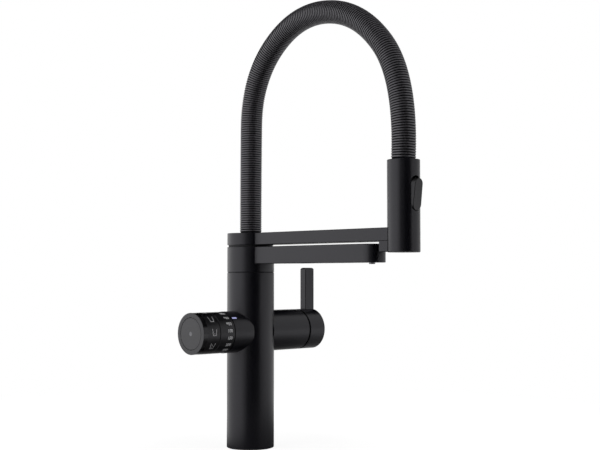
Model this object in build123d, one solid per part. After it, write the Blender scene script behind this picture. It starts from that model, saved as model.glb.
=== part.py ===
"""Kitchen tap for mixed, filtered and sparkling water, in millimetres.

A round column stands on the deck at the origin, +Z up. Two arms reach forward along -Y and
swivel about the column. The upper arm docks a spray head on an arched hose, and the lower arm
is the filtered water spout. A dial reaches out along -X, and a mixer with a lever along +X.
"""

from build123d import *
from math import atan2, cos, degrees, radians, sin, sqrt, tan
import os

# Fits between pieces, as gaps on the radius or on one side
loose = 0.1
running = 0.05
moving_clear = 0.3
edge_break = 0.3

# How far a cut runs on past a surface
overrun = 1.0

# Column
column_d = 50.0
column_wall = 2.5
column_height = 184.4
foot_round = 0.8

# Deck mounting: an M33 shank goes through a 35 mm hole in the deck
shank_d = 33.0
shank_bore_d = 26.0
shank_length = 60.0
shank_undercut = 2.5
shank_spigot_d = 31.4
shank_tip_chamfer = 1.0
foot_plate_thickness = 9.0
shank_flange_thickness = 5.0
shank_flange_gap = 0.6
gasket_width = 3.0
gasket_thickness = 1.5
gasket_inset = 1.0

# Water inlets, M10x1 for flexible tails, and the tubes above them
inlet_d = 9.0
inlet_depth = 12.0
inlet_pitch_r = 7.4
inlet_angles = {"hot": 60, "cold": -60, "filtered": 180}
inlet_block_d = 34.8
inlet_block_height = 20.0
riser_d = 8.0
riser_bore_d = 6.0
riser_socket = 5.0
mixed_tube_x = 3.5

# Screws: M2, M3 and M4 cap screws, and M4 grub screws
m2_r, m2_head_r, m2_head_h = 0.95, 1.5, 1.0
m3_r, m3_head_r, m3_head_h = 1.5, 2.1, 2.5
m4_r, m4_head_r, m4_head_h = 1.95, 3.4, 3.6
grub_r = 2.0
hex_width_share = 0.45
hex_depth_share = 0.6
screw_angles = (0, 120, 240)
foot_screw_inset = 2.2
foot_screw_length = 10.0
block_screw_inset = 2.45
block_screw_bite = 4.0
foot_grub_z = 5.0
foot_grub_inset = 3.0
spindle_grub_inset = 1.0
spindle_grub_drop = 4.5

# Hubs and swivel spindle
seam_width = 0.5
seam_depth = 0.6
lower_hub_height = 26.5
hub_gap = 2.1
hub_gap_depth = 1.4
upper_hub_height = 12.5
spindle_d = 32.0
spindle_neck_d = 24.0
spindle_flange_thickness = 9.0
spindle_neck_rise = 8.0
water_groove_half = 2.0
water_groove_depth = 2.5
water_port_r = 1.9
seal_section_d = 1.6
seal_offset = 5.2
seal_groove_half = 0.9
circlip_thickness = 1.0
circlip_groove_depth = 0.8
circlip_width = 3.0
circlip_gap = 3.0
socket_spigot_d = 14.1
socket_chamber = 1.0
socket_seal_rise = 4.0

# Arms
arm_width = 26.0
arm_edge = 0.5
root_fillet = 0.8
spout_reach = 173.5
spout_thickness = 17.8
spout_wall = 3.0
spout_floor = 3.4
spout_hub_wall = 2.0
nozzle_d = 6.0
nozzle_drop = 1.4
nozzle_rim = 1.0
nozzle_flange = 1.2
nozzle_flange_thickness = 2.4
nozzle_holes_r = 1.15
nozzle_hole_r = 0.35
nozzle_hole_count = 6
nozzle_block_d = 19.0
nozzle_bore_r = 2.5
reach = 213.0
hub_floor = 5.0
hub_roof = 3.5
hub_room_r = 17.0
arm_cavity_width = 18.0
arm_cavity_stop = 8.0

# Dock at the end of the upper arm
dock_gap = 0.3
dock_depth = 3.9
magnet_width = 12.0
magnet_thickness = 2.0
magnet_height = 8.0
magnet_wall = 1.4
dock_screw_x = 9.5
dock_screw_r = 1.25
dock_screw_bite = 7.0

# Spray head
head_d = 30.9
head_wall = 1.5
head_length = 85.7
head_top_above_hub = 63.0
head_roof = 3.5
head_core_gap = 0.2
head_core_base = 3.0
head_core_drop = 12.0
face_plate_drop = 0.5
face_plate_inset = 0.5
face_plate_thickness = 0.8
nozzle_mat_thickness = 2.0
nozzle_rings = ((5.0, 8), (8.2, 12), (11.2, 18))
spray_hole_r = 0.75
spray_nozzle_r = 0.6
stream_hole_r = 2.0

# Rocker button and diverter in the spray head
rocker_width = 12.2
rocker_length = 30.6
rocker_centre_up = 52.9
rocker_proud_top = 3.9
rocker_proud_bottom = 0.3
rocker_draft_deg = 8.0
rocker_side_gap = 0.35
rocker_top_gap = 2.1
rocker_swing_deg = 10.0
rocker_pivot_inset = 5.95
rocker_back = 1.6
rocker_face_round = 0.6
rocker_lug_r = 2.6
rocker_lug_half = 4.6
rocker_arm_half = 1.2
rocker_tip_r = 1.0
rocker_tip_side = 1.0
rocker_tip_room = 4.2
rocker_pin_r = 1.2
rocker_pin_half = 8.2
spool_r = 3.0
spool_half = 12.0
spool_floor = 3.0
spool_neck_r = 1.6
spool_groove_half = 1.45
head_channel_r = 2.0
head_channel_y = 8.0
head_port_r = 1.5

# Hose
hose_d = 22.5
hose_root_d = 20.9
hose_cover_bore_d = 16.8
inner_hose_d = 16.0
inner_hose_bore_d = 11.2
hose_rib_count = 203
hose_plain_end = 0.6
rib_shares = (0.08, 0.3, 0.7, 0.92)
arc_share = 0.45
fitting_bore_d = 7.2
fitting_body_d = 17.8
barb_d = 10.8
barb_depth = 0.6
barb_count = 2
barb_pitch = 4.0
barb_length = 13.0
hub_collar_height = 1.0
hub_collar_foot = 0.3
head_collar_height = 1.0
head_collar_flare = 0.5
nipple_depth = 11.0
# The route in the X = 0 plane: Y, and Z above the upper arm's top
hose_route = [
    (0, hub_collar_height),
    (0, 170),
    (-77, 227),
    (-159.5, 212),
    (-reach, 146),
    (-reach, head_top_above_hub + head_collar_height),
]

# Cross axis of the dial and the mixer, below the column's top
cross_drop = 62.3
neck_d = 31.8
neck_overlap = 5.0
manifold_half_x = 14.0
manifold_half_y = 12.0
manifold_below = 22.0
manifold_above = 26.0
manifold_chamfer = 1.5
manifold_screw_stop = 4.0
manifold_screw_end = 5.0
port_r = 2.4
supply_port_z = -4.0
mixed_port_z = 7.0
port_seal_r = 3.3
port_seal_section_r = 0.54
port_seal_sink = 1.1

# Dial
dial_d = 42.6
dial_face_x = 81.4
select_ring_length = 21.7
portion_ring_length = 19.1
dial_groove = 0.5
dial_washer_d = 40.2
dial_sleeve_d = 43.4
dial_spindle_d = 30.0
dial_spindle_bore_d = 25.0
dial_wire_hole_r = 3.0
dial_screw_y = 8.5
keeper_x = 75.0
keeper_thickness = 1.9
keeper_d = 32.6
keeper_screw_inset = 1.25
keeper_screw_depth = 6.0
keeper_screw_angles = (90, 210, 330)
button_d = 32.7
button_thickness = 2.0
button_stem_d = 8.0
button_stem_tail = 2.4
button_neck_depth = 0.5
button_clip_groove = 0.9
button_clip_thickness = 0.86
button_clip_width = 1.8
button_clip_gap = 2.4
return_ring_d = 14.0
return_ring_wall = 1.0
light_d = 4.4
light_depth = 1.0
led_length = 6.0
led_width = 1.8
led_depth = 3.5
led_margin = 0.3
led_angle_deg = 45.0
board_x = 60.0
board_thickness = 1.6
board_hole_r = 2.0
board_hole_up = 8.0

# Mixer
mixer_d = 43.8
mixer_body_end_x = 66.8
mixer_groove = 2.4
mixer_groove_depth = 1.25
mixer_end_x = 91.4
cap_edge = 0.6
chamber_floor_x = 40.0
mixer_screw_places = ((9.4, 8.0), (-9.4, 8.0), (0.0, -12.0))
mixer_screw_sink = 4.0
cartridge_d = 34.8
cartridge_base_length = 4.0
ceramic_d = 24.0
disc_length = 4.0
disc_port_r = 2.1
mixing_pocket = ((-8.0, 8.0), (-6.0, 9.0))
housing_length = 16.0
housing_roof = 4.0
nut_length = 5.0
nut_bore_d = 18.0
stem_d = 10.0
carrier_d = 22.0
carrier_length = 3.6
cap_boss_d = 17.0
cap_boss_length = 3.0
cap_socket_depth = 9.0
cap_grub_x = 4.5
cap_grub_depth = 3.0
glide_ring_bore_d = 20.0
lever_x_width = 13.3
lever_y_width = 8.3
lever_top_above_axis = 67.8
lever_corner = 3.0
lever_top_round = 2.0
lever_side_round = 0.6
tenon_inset = 2.0
tenon_side_inset = 1.0
tenon_depth = 7.0
tenon_overlap = 1.0

# Worked out from the values above
column_r = column_d / 2
column_bore_r = column_r - column_wall
shank_r = shank_d / 2
shank_spigot_r = shank_spigot_d / 2
shank_bore_r = shank_bore_d / 2
shank_flange_r = column_bore_r - shank_flange_gap
gasket_r = column_bore_r - gasket_inset
flange_top = foot_plate_thickness + shank_flange_thickness
inlet_block_top = flange_top + inlet_block_height
riser_r = riser_d / 2
riser_bore_r = riser_bore_d / 2
lower_hub_base = column_height + seam_width
lower_hub_top = lower_hub_base + lower_hub_height
upper_hub_base = lower_hub_top + hub_gap
upper_hub_top = upper_hub_base + upper_hub_height
hub_floor_z = upper_hub_base + hub_floor
hub_roof_z = upper_hub_top - hub_roof
spindle_r = spindle_d / 2
spindle_neck_r = spindle_neck_d / 2
spindle_base = column_height - spindle_flange_thickness
spindle_top = upper_hub_base + spindle_neck_rise
spindle_grub_z = column_height - spindle_grub_drop
socket_spigot_r = socket_spigot_d / 2
spout_base = lower_hub_top - spout_thickness
waterway_z = (spout_base + lower_hub_top) / 2
spout_cavity_base = spout_base + spout_floor
spout_cavity_top = lower_hub_top - spout_floor
spout_cavity_y = -column_r - spout_hub_wall
spout_tube_start_y = (spout_cavity_y - spindle_r) / 2
spout_tube_end_y = -spout_reach + nozzle_block_d / 2 - riser_socket
cross_z = column_height - cross_drop
neck_r = neck_d / 2
manifold_base = cross_z - manifold_below
manifold_top = cross_z + manifold_above
head_r = head_d / 2
head_top = upper_hub_top + head_top_above_hub
head_base = head_top - head_length
head_core_r = head_r - head_wall - head_core_gap
head_hollow_r = head_r + dock_gap
face_plate_base = head_base - face_plate_drop
mat_base = face_plate_base + face_plate_thickness
rocker_z = head_base + rocker_centre_up
rocker_pivot_y = -(head_r - rocker_pivot_inset)
rocker_tip_y = -(spool_neck_r + rocker_tip_r + moving_clear)
dock_back_y = -reach + head_r + dock_depth
dock_screw_seat_z = head_base + m3_head_h + loose
magnet_front_y = -reach + head_hollow_r + magnet_wall
hose_r = hose_d / 2
fitting_bore_r = fitting_bore_d / 2
fitting_body_r = fitting_body_d / 2
groove_one_x = dial_face_x - select_ring_length
groove_two_x = groove_one_x - dial_groove - portion_ring_length
sleeve_front_x = groove_two_x - dial_groove
dial_spindle_r = dial_spindle_d / 2
keeper_back_x = keeper_x - keeper_thickness
button_back_x = dial_face_x - button_thickness
button_neck_r = button_stem_d / 2 - button_neck_depth
mixer_r = mixer_d / 2
mixer_screw_seat_x = chamber_floor_x - mixer_screw_sink
cap_inner_x = mixer_body_end_x + mixer_groove
disc_start_x = chamber_floor_x + cartridge_base_length
moving_disc_x = disc_start_x + disc_length
carrier_x = moving_disc_x + disc_length
housing_end_x = disc_start_x + housing_length
stem_end_x = cap_inner_x + cap_socket_depth
lever_x = mixer_end_x - lever_x_width


def turned(*outline):
    """A solid of revolution about Z from (radius, height) points."""
    points = [(r, 0, z) for r, z in outline]
    return revolve(make_face(Polyline(*points, close=True)), Axis.Z)


def tube(outer_r, inner_r, low, high, x=0.0, y=0.0):
    """An upright tube, or a rod where inner_r is 0."""
    outline = [(inner_r, low), (outer_r, low), (outer_r, high), (inner_r, high)]
    return Pos(x, y, 0) * turned(*outline)


def along_x(shape):
    """Turns a shape built about Z so that its +Z points along +X, on the cross axis."""
    return Pos(0, 0, cross_z) * Rot(0, 90, 0) * shape


def along_minus_x(shape):
    """Turns a shape built about Z so that its +Z points along -X, on the cross axis."""
    return Pos(0, 0, cross_z) * Rot(0, -90, 0) * shape


def at_head(shape):
    """Moves a shape built about Z to the spray head's axis."""
    return Pos(0, -reach, 0) * shape


def rod(radius, start, end):
    """A straight rod between two points."""
    start = Vector(*start)
    span = Vector(*end) - start
    return Part() + Solid.make_cylinder(radius, span.length, Plane(origin=start, z_dir=span))


def block(low, high):
    """A box between its lowest and highest corners."""
    size = [b - a for a, b in zip(low, high)]
    centre = [(a + b) / 2 for a, b in zip(low, high)]
    return Pos(*centre) * Box(*size)


def ring_seal(mean_r, section_r, at, axis=(0, 0, 1)):
    """A seal ring centred at a point and lying across an axis."""
    return Part() + Solid.make_torus(mean_r, section_r, Plane(origin=at, z_dir=axis))


def open_ring(inner_r, width, low, thickness, gap):
    """A retaining ring with a gap on its +Y side."""
    made = tube(inner_r + width, inner_r, low, low + thickness)
    return made - block((-gap / 2, 0, low), (gap / 2, inner_r + width + overrun, low + thickness))


def cap_screw(shank, head, seat, direction, length):
    """A socket screw: its head, as (radius, height), sits on seat, and its shank runs on."""
    head_radius, head_height = head
    seat = Vector(*seat)
    direction = Vector(*direction).normalized()
    back = seat - direction * head_height
    screw = rod(shank, seat, seat + direction * length) + rod(head_radius, back, seat)
    hex_end = back + direction * head_height * hex_depth_share
    return screw - rod(head_radius * hex_width_share, back, hex_end)


def polar(radius, angle_deg):
    """The (x, y) of a point at a radius and an angle from +X."""
    return radius * cos(radians(angle_deg)), radius * sin(radians(angle_deg))


def inlet_points():
    """The centres of the three waterways, by name."""
    return {name: polar(inlet_pitch_r, angle) for name, angle in inlet_angles.items()}


def spout_riser_points():
    """The centres of the mixed and the filtered tube above the manifold."""
    return [(mixed_tube_x, 0), inlet_points()["filtered"]]


def foot_screw_points():
    """The centres of the screws that hold the foot plate to the shank's flange."""
    return [polar(shank_flange_r - foot_screw_inset, angle) for angle in screw_angles]


def block_screw_points():
    """The centres of the screws that hold the inlet block to the shank's flange."""
    return [polar(inlet_block_d / 2 - block_screw_inset, angle) for angle in screw_angles]


def mixer_ports():
    """The mixer's three waterways, as (Y, Z above the cross axis)."""
    supply_y = inlet_points()["hot"][1]
    return [(supply_y, supply_port_z), (-supply_y, supply_port_z), (0, mixed_port_z)]


def make_foot_plate():
    """The plate that closes the column's foot and rests on the deck."""
    made = tube(column_bore_r - loose, shank_spigot_r + loose, 0, foot_plate_thickness)
    made -= tube(gasket_r + loose, gasket_r - gasket_width - loose, 0, gasket_thickness)
    for x, y in foot_screw_points():
        bottom = flange_top - foot_screw_length - loose
        made -= rod(m3_r + loose, (x, y, bottom), (x, y, foot_plate_thickness))
    return made - rod(grub_r + loose, (0, shank_r, foot_grub_z), (0, column_r, foot_grub_z))


def make_base_gasket():
    """The soft ring under the foot plate."""
    return tube(gasket_r, gasket_r - gasket_width, 0, gasket_thickness)


def make_threaded_shank():
    """The hollow shank that goes through the deck, with the flange that it hangs from."""
    made = turned(
        (shank_bore_r, -shank_length),
        (shank_r - shank_tip_chamfer, -shank_length),
        (shank_r, -shank_length + shank_tip_chamfer),
        (shank_r, -shank_undercut),
        (shank_spigot_r, -shank_undercut),
        (shank_spigot_r, foot_plate_thickness),
        (shank_flange_r, foot_plate_thickness),
        (shank_flange_r, flange_top),
        (shank_bore_r, flange_top),
    )
    for x, y in foot_screw_points():
        made -= rod(m3_r + loose, (x, y, foot_plate_thickness), (x, y, flange_top))
    for x, y in block_screw_points():
        bottom = flange_top - block_screw_bite - loose
        made -= rod(m3_r + loose, (x, y, bottom), (x, y, flange_top))
    return made


def make_column_screws():
    """The screws of the foot plate and the inlet block, and the column's two grub screws."""
    made = Part()
    head = (m3_head_r, m3_head_h)
    for x, y in foot_screw_points():
        made += cap_screw(m3_r, head, (x, y, flange_top), (0, 0, -1), foot_screw_length)
    seat_z = inlet_block_top - m3_head_h
    length = seat_z - flange_top + block_screw_bite
    for x, y in block_screw_points():
        made += cap_screw(m3_r, head, (x, y, seat_z), (0, 0, -1), length)
    outer_y = column_r - edge_break
    made += rod(grub_r, (0, shank_spigot_r + foot_grub_inset, foot_grub_z), (0, outer_y, foot_grub_z))
    grub_end = (0, spindle_r + spindle_grub_inset, spindle_grub_z)
    return made + rod(grub_r, grub_end, (0, outer_y, spindle_grub_z))


def make_inlet_block():
    """The block over the shank that takes the hot, cold and filtered tails."""
    made = tube(inlet_block_d / 2, 0, flange_top, inlet_block_top)
    for x, y in inlet_points().values():
        made -= rod(inlet_d / 2, (x, y, flange_top), (x, y, flange_top + inlet_depth))
        made -= rod(riser_bore_r, (x, y, flange_top), (x, y, inlet_block_top))
        seat = (x, y, inlet_block_top - riser_socket)
        made -= rod(riser_r + loose, seat, (x, y, inlet_block_top))
    for x, y in block_screw_points():
        made -= rod(m3_r + loose, (x, y, flange_top), (x, y, inlet_block_top))
        seat = (x, y, inlet_block_top - m3_head_h)
        made -= rod(m3_head_r + loose, seat, (x, y, inlet_block_top))
    return made


def make_supply_risers():
    """The three supply tubes from the inlet block to the manifold."""
    low = inlet_block_top - riser_socket
    high = manifold_base + riser_socket
    points = inlet_points().values()
    return Part() + [tube(riser_r, riser_bore_r, low, high, x, y) for x, y in points]


def make_spout_risers():
    """The mixed and the filtered tube from the manifold up to the swivel spindle."""
    low = manifold_top - riser_socket
    high = spindle_base + riser_socket
    points = spout_riser_points()
    return Part() + [tube(riser_r, riser_bore_r, low, high, x, y) for x, y in points]


def make_valve_manifold():
    """The block inside the column that joins the tubes, the mixer and the dial."""
    low = (-manifold_half_x, -manifold_half_y, manifold_base)
    made = block(low, (manifold_half_x, manifold_half_y, manifold_top))
    made = chamfer(made.edges().filter_by(Axis.Z), manifold_chamfer)
    for name, (x, y) in inlet_points().items():
        top = manifold_top if name == "filtered" else cross_z + supply_port_z + riser_bore_r
        made -= rod(riser_bore_r, (x, y, manifold_base), (x, y, top))
        seat = (x, y, manifold_base + riser_socket)
        made -= rod(riser_r + loose, (x, y, manifold_base), seat)
    supply_x = inlet_points()["hot"][0]
    for (y, up), start_x in zip(mixer_ports(), (supply_x, supply_x, mixed_tube_x)):
        z = cross_z + up
        made -= rod(port_r, (start_x, y, z), (manifold_half_x, y, z))
    mixed_low = cross_z + mixed_port_z - riser_bore_r
    made -= rod(riser_bore_r, (mixed_tube_x, 0, mixed_low), (mixed_tube_x, 0, manifold_top))
    for x, y in spout_riser_points():
        seat = (x, y, manifold_top - riser_socket)
        made -= rod(riser_r + loose, seat, (x, y, manifold_top))
    for y, up in mixer_screw_places:
        z = cross_z + up
        made -= rod(m4_r + loose, (manifold_screw_stop, y, z), (manifold_half_x, y, z))
    for y in (-dial_screw_y, dial_screw_y):
        outer = (-manifold_half_x, y, cross_z)
        made -= rod(m4_r + loose, outer, (-manifold_screw_stop, y, cross_z))
    return made


def make_column_tube():
    """The outer tube, with a hole for each neck and for the screws at the back."""
    made = tube(column_r, column_bore_r, 0, column_height)
    rims = made.edges().filter_by(GeomType.CIRCLE).group_by(Axis.Z)
    made = fillet(rims[0].sort_by(SortBy.RADIUS)[-1], foot_round)
    rims = made.edges().filter_by(GeomType.CIRCLE).group_by(Axis.Z)
    made = chamfer(rims[-1].sort_by(SortBy.RADIUS)[-1], edge_break)
    made -= rod(neck_r + loose, (-column_d, 0, cross_z), (column_d, 0, cross_z))
    for z in (foot_grub_z, spindle_grub_z):
        made -= rod(grub_r + loose, (0, column_bore_r - overrun, z), (0, column_d, z))
    return made


def make_swivel_spindle():
    """The fixed spindle that both hubs turn on, with its waterways and seal grooves."""
    seal_r = spindle_r - seal_section_d - running
    clip_r = spindle_neck_r - circlip_groove_depth
    clip_z = hub_floor_z + loose
    flange_r = column_bore_r - loose
    outline = [(0, spindle_base), (flange_r, spindle_base)]
    outline += [(flange_r, column_height), (spindle_r, column_height)]
    for z, half, r in (
        (waterway_z - seal_offset, seal_groove_half, seal_r),
        (waterway_z, water_groove_half, spindle_r - water_groove_depth),
        (waterway_z + seal_offset, seal_groove_half, seal_r),
    ):
        outline += [(spindle_r, z - half), (r, z - half), (r, z + half), (spindle_r, z + half)]
    outline += [(spindle_r, upper_hub_base), (spindle_neck_r, upper_hub_base)]
    outline += [(spindle_neck_r, clip_z), (clip_r, clip_z), (clip_r, clip_z + circlip_thickness)]
    outline += [(spindle_neck_r, clip_z + circlip_thickness)]
    outline += [(spindle_neck_r, spindle_top), (0, spindle_top)]
    made = turned(*outline)
    (mixed_x, _), (filtered_x, _) = spout_riser_points()
    made -= rod(riser_bore_r, (mixed_x, 0, spindle_base), (mixed_x, 0, spindle_top))
    made -= tube(socket_spigot_r + running, 0, upper_hub_base + socket_chamber, spindle_top)
    seal_z = upper_hub_base + socket_seal_rise
    groove_r = socket_spigot_r + seal_section_d + loose
    made -= tube(groove_r, 0, seal_z - seal_groove_half, seal_z + seal_groove_half)
    filtered_top = waterway_z + riser_bore_r
    made -= rod(riser_bore_r, (filtered_x, 0, spindle_base), (filtered_x, 0, filtered_top))
    made -= rod(water_port_r, (filtered_x, 0, waterway_z), (-spindle_d, 0, waterway_z))
    for x in (mixed_x, filtered_x):
        made -= rod(riser_r + loose, (x, 0, spindle_base), (x, 0, spindle_base + riser_socket))
    grub_hole = rod(grub_r + loose, (0, spindle_r, spindle_grub_z), (0, column_r, spindle_grub_z))
    return made - grub_hole


def make_spindle_seals():
    """Two seal rings above and below the water groove, and one round the hose socket."""
    section_r = seal_section_d / 2
    mean_r = spindle_r - section_r
    made = ring_seal(mean_r, section_r, (0, 0, waterway_z - seal_offset))
    made += ring_seal(mean_r, section_r, (0, 0, waterway_z + seal_offset))
    socket_mean_r = socket_spigot_r + running + section_r
    return made + ring_seal(socket_mean_r, section_r, (0, 0, upper_hub_base + socket_seal_rise))


def make_spindle_circlip():
    """The ring that keeps both hubs on the spindle."""
    inner_r = spindle_neck_r - circlip_groove_depth + running
    return open_ring(inner_r, circlip_width, hub_floor_z + loose, circlip_thickness, circlip_gap)


def make_lower_glide_washer():
    """The thin washer that shows as a seam between the column and the lower hub."""
    return tube(column_r - seam_depth, spindle_r + loose, column_height, lower_hub_base)


def make_hub_spacer_ring():
    """The ring at the bottom of the groove between the two hubs."""
    return tube(column_r - hub_gap_depth, spindle_r + loose, lower_hub_top, upper_hub_base)


def hub(low, high):
    """A solid hub as wide as the column, with a broken edge at each seam."""
    outline = [(0, low), (column_r - edge_break, low), (column_r, low + edge_break)]
    outline += [(column_r, high - edge_break), (column_r - edge_break, high), (0, high)]
    return turned(*outline)


def arm_bar(length, low, high, rounded_end):
    """A flat bar from the hub's centre out along -Y, with lightly broken edges."""
    plan = Pos(0, -length / 2) * Rectangle(arm_width, length)
    if rounded_end:
        plan += Pos(0, -length) * Circle(arm_width / 2)
    bar = extrude(Plane.XY.offset(low) * plan, high - low)
    levels = bar.edges().group_by(Axis.Z)
    return chamfer(levels[0] + levels[-1], arm_edge)


def blend_root(made):
    """Fillets the upright edges where an arm leaves its hub."""
    half = arm_width / 2
    root_y = -sqrt(column_r**2 - half**2)
    roots = [
        edge
        for edge in made.edges().filter_by(Axis.Z)
        if abs(abs(edge.center().X) - half) < loose and abs(edge.center().Y - root_y) < loose
    ]
    return fillet(roots, root_fillet)


def make_lower_arm():
    """The spout: its hub and hollow bar in one casting."""
    made = hub(lower_hub_base, lower_hub_top)
    made += arm_bar(spout_reach, spout_base, lower_hub_top, True)
    made = blend_root(made)
    made -= tube(spindle_r + running, 0, lower_hub_base, lower_hub_top)
    half = arm_width / 2 - spout_wall
    low = (-half, -spout_reach, spout_cavity_base)
    made -= block(low, (half, spout_cavity_y, spout_cavity_top))
    made -= tube(half, 0, spout_cavity_base, spout_cavity_top, 0, -spout_reach)
    socket = (0, spout_tube_start_y, waterway_z)
    made -= rod(riser_r + loose, socket, (0, spout_cavity_y - overrun, waterway_z))
    made -= rod(riser_bore_r, (0, 0, waterway_z), (0, spout_cavity_y, waterway_z))
    hole_low = spout_base - nozzle_drop
    return made - tube(nozzle_d / 2 + loose, 0, hole_low, waterway_z, 0, -spout_reach)


def make_spout_tube():
    """The filtered water tube inside the spout."""
    start = (0, spout_tube_start_y, waterway_z)
    end = (0, spout_tube_end_y, waterway_z)
    return rod(riser_r, start, end) - rod(riser_bore_r, start, end)


def make_nozzle_block():
    """The round block at the spout's end that turns the water down to the aerator."""
    top = spout_cavity_top - moving_clear
    made = tube(nozzle_block_d / 2, 0, spout_cavity_base, top)
    seat_y = spout_tube_end_y + spout_reach
    made -= rod(riser_r + loose, (0, seat_y, waterway_z), (0, nozzle_block_d, waterway_z))
    bore_start = (0, -nozzle_bore_r - overrun, waterway_z)
    made -= rod(riser_bore_r, bore_start, (0, seat_y + overrun, waterway_z))
    seat_r = nozzle_d / 2 + nozzle_flange + loose
    seat_top = spout_cavity_base + nozzle_flange_thickness + loose
    made -= tube(seat_r, 0, spout_cavity_base, seat_top)
    made -= tube(nozzle_bore_r, 0, spout_cavity_base, waterway_z)
    return Pos(0, -spout_reach, 0) * made


def make_spout_aerator():
    """The small aerator whose tip stands out under the spout."""
    r = nozzle_d / 2
    tip = spout_base - nozzle_drop
    top = spout_cavity_base + nozzle_flange_thickness
    made = turned(
        (0, tip + 2 * edge_break),
        (r - nozzle_rim, tip + 2 * edge_break),
        (r - nozzle_rim, tip),
        (r - edge_break, tip),
        (r, tip + edge_break),
        (r, spout_cavity_base),
        (r + nozzle_flange, spout_cavity_base),
        (r + nozzle_flange, top),
        (0, top),
    )
    for i in range(nozzle_hole_count):
        x, y = polar(nozzle_holes_r, 360 * i / nozzle_hole_count)
        made -= rod(nozzle_hole_r, (x, y, tip), (x, y, top))
    return Pos(0, -spout_reach, 0) * made


def head_hollow(low, high):
    """The round space that the spray head takes in the arm and the dock."""
    return at_head(tube(head_hollow_r, 0, low, high))


def dock_screw_points():
    """The dock screws' centres, midway between the head's hollow and the dock's back."""
    hollow_y = -reach + sqrt(head_hollow_r**2 - dock_screw_x**2)
    y = (hollow_y + dock_back_y) / 2
    return [(-dock_screw_x, y), (dock_screw_x, y)]


def magnet_space(gap):
    """The magnet's box, or its pocket where there is a gap."""
    half = magnet_width / 2 + gap
    back = magnet_front_y + magnet_thickness + gap
    low = (-half, magnet_front_y - gap, upper_hub_base)
    return block(low, (half, back, upper_hub_base + magnet_height + gap))


def make_upper_arm():
    """The docking arm: its hub and hollow bar in one casting, hollowed round the head."""
    made = hub(upper_hub_base, upper_hub_top)
    made += arm_bar(reach - head_hollow_r / 2, upper_hub_base, upper_hub_top, False)
    made = blend_root(made)
    made -= head_hollow(upper_hub_base, upper_hub_top)
    made -= tube(spindle_neck_r + running, 0, upper_hub_base, hub_floor_z)
    made -= tube(hub_room_r, 0, hub_floor_z, hub_roof_z)
    made -= tube(fitting_body_r + loose, 0, hub_roof_z, upper_hub_top)
    half = arm_cavity_width / 2
    low = (-half, dock_back_y + arm_cavity_stop, hub_floor_z)
    made -= block(low, (half, -hub_room_r / 2, hub_roof_z))
    made -= magnet_space(loose)
    for x, y in dock_screw_points():
        top = upper_hub_base + dock_screw_bite + loose
        made -= rod(dock_screw_r + loose, (x, y, upper_hub_base), (x, y, top))
    return made


def make_dock_block():
    """The block under the arm's end, hollowed like the arm."""
    half = arm_width / 2
    low = (-half, -reach + head_hollow_r / 2, head_base)
    made = block(low, (half, dock_back_y, upper_hub_base))
    made = chamfer(made.edges().group_by(Axis.Z)[0], arm_edge)
    made -= head_hollow(head_base, upper_hub_base)
    for x, y in dock_screw_points():
        made -= rod(dock_screw_r + loose, (x, y, head_base), (x, y, upper_hub_base))
        made -= rod(m3_head_r + loose, (x, y, head_base), (x, y, dock_screw_seat_z))
    return made


def make_dock_screws():
    """The two screws that hold the dock block to the arm."""
    length = upper_hub_base + dock_screw_bite - dock_screw_seat_z
    head = (m3_head_r, m3_head_h)
    made = Part()
    for x, y in dock_screw_points():
        made += cap_screw(dock_screw_r, head, (x, y, dock_screw_seat_z), (0, 0, 1), length)
    return made


def barbed(base):
    """Outline points of a hose barb with two lips, from its base up to its bore."""
    lip = barb_d / 2
    r = lip - barb_depth
    outline = [(r, base)]
    for i in range(1, barb_count + 1):
        outline += [(r, base + i * barb_pitch), (lip, base + i * barb_pitch)]
    outline += [(r, base + (barb_count + 1) * barb_pitch), (r, base + barb_length)]
    return outline + [(fitting_bore_r, base + barb_length)]


def make_hose_socket():
    """The fitting in the upper hub that carries the hose, with its smooth collar."""
    low = upper_hub_base + 2 * socket_chamber
    shoulder = spindle_top + moving_clear
    top = upper_hub_top + hub_collar_height
    return turned(
        (fitting_bore_r, low),
        (socket_spigot_r, low),
        (socket_spigot_r, shoulder),
        (fitting_body_r, shoulder),
        (fitting_body_r, upper_hub_top),
        (hose_r + hub_collar_foot, upper_hub_top),
        (hose_r, upper_hub_top + hub_collar_foot),
        (hose_r, top - edge_break),
        (hose_r - edge_break, top),
        *barbed(top),
    )


def make_hose_nipple():
    """The fitting in the head's roof that holds the hose's other end."""
    collar_r = hose_r + head_collar_flare
    top = head_top + head_collar_height
    made = turned(
        (fitting_bore_r, head_top - nipple_depth),
        (fitting_body_r, head_top - nipple_depth),
        (fitting_body_r, head_top),
        (collar_r, head_top),
        (collar_r, top - head_collar_height / 2),
        (hose_r, top),
        *barbed(top),
    )
    return at_head(made)


def hose_path():
    """The hose's centreline: straight runs joined by arcs as large as the runs allow."""
    points = [Vector(0, y, upper_hub_top + z) for y, z in hose_route]
    radii = []
    for before, corner, after in zip(points, points[1:], points[2:]):
        shorter = min((corner - before).length, (after - corner).length)
        turn = (corner - before).get_angle(after - corner)
        radii.append(arc_share * shorter / tan(radians(turn / 2)))
    path = FilletPolyline(*points, radius=radii)
    print("hose radii", [round(r, 1) for r in radii], "mm, length", round(path.length, 1), "mm")
    return path


def hose_plane(path, distance):
    """The plane across the hose at a distance along it, with a steady X axis."""
    share = distance / path.length
    return Plane(origin=path @ share, x_dir=(1, 0, 0), z_dir=path % share)


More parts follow.
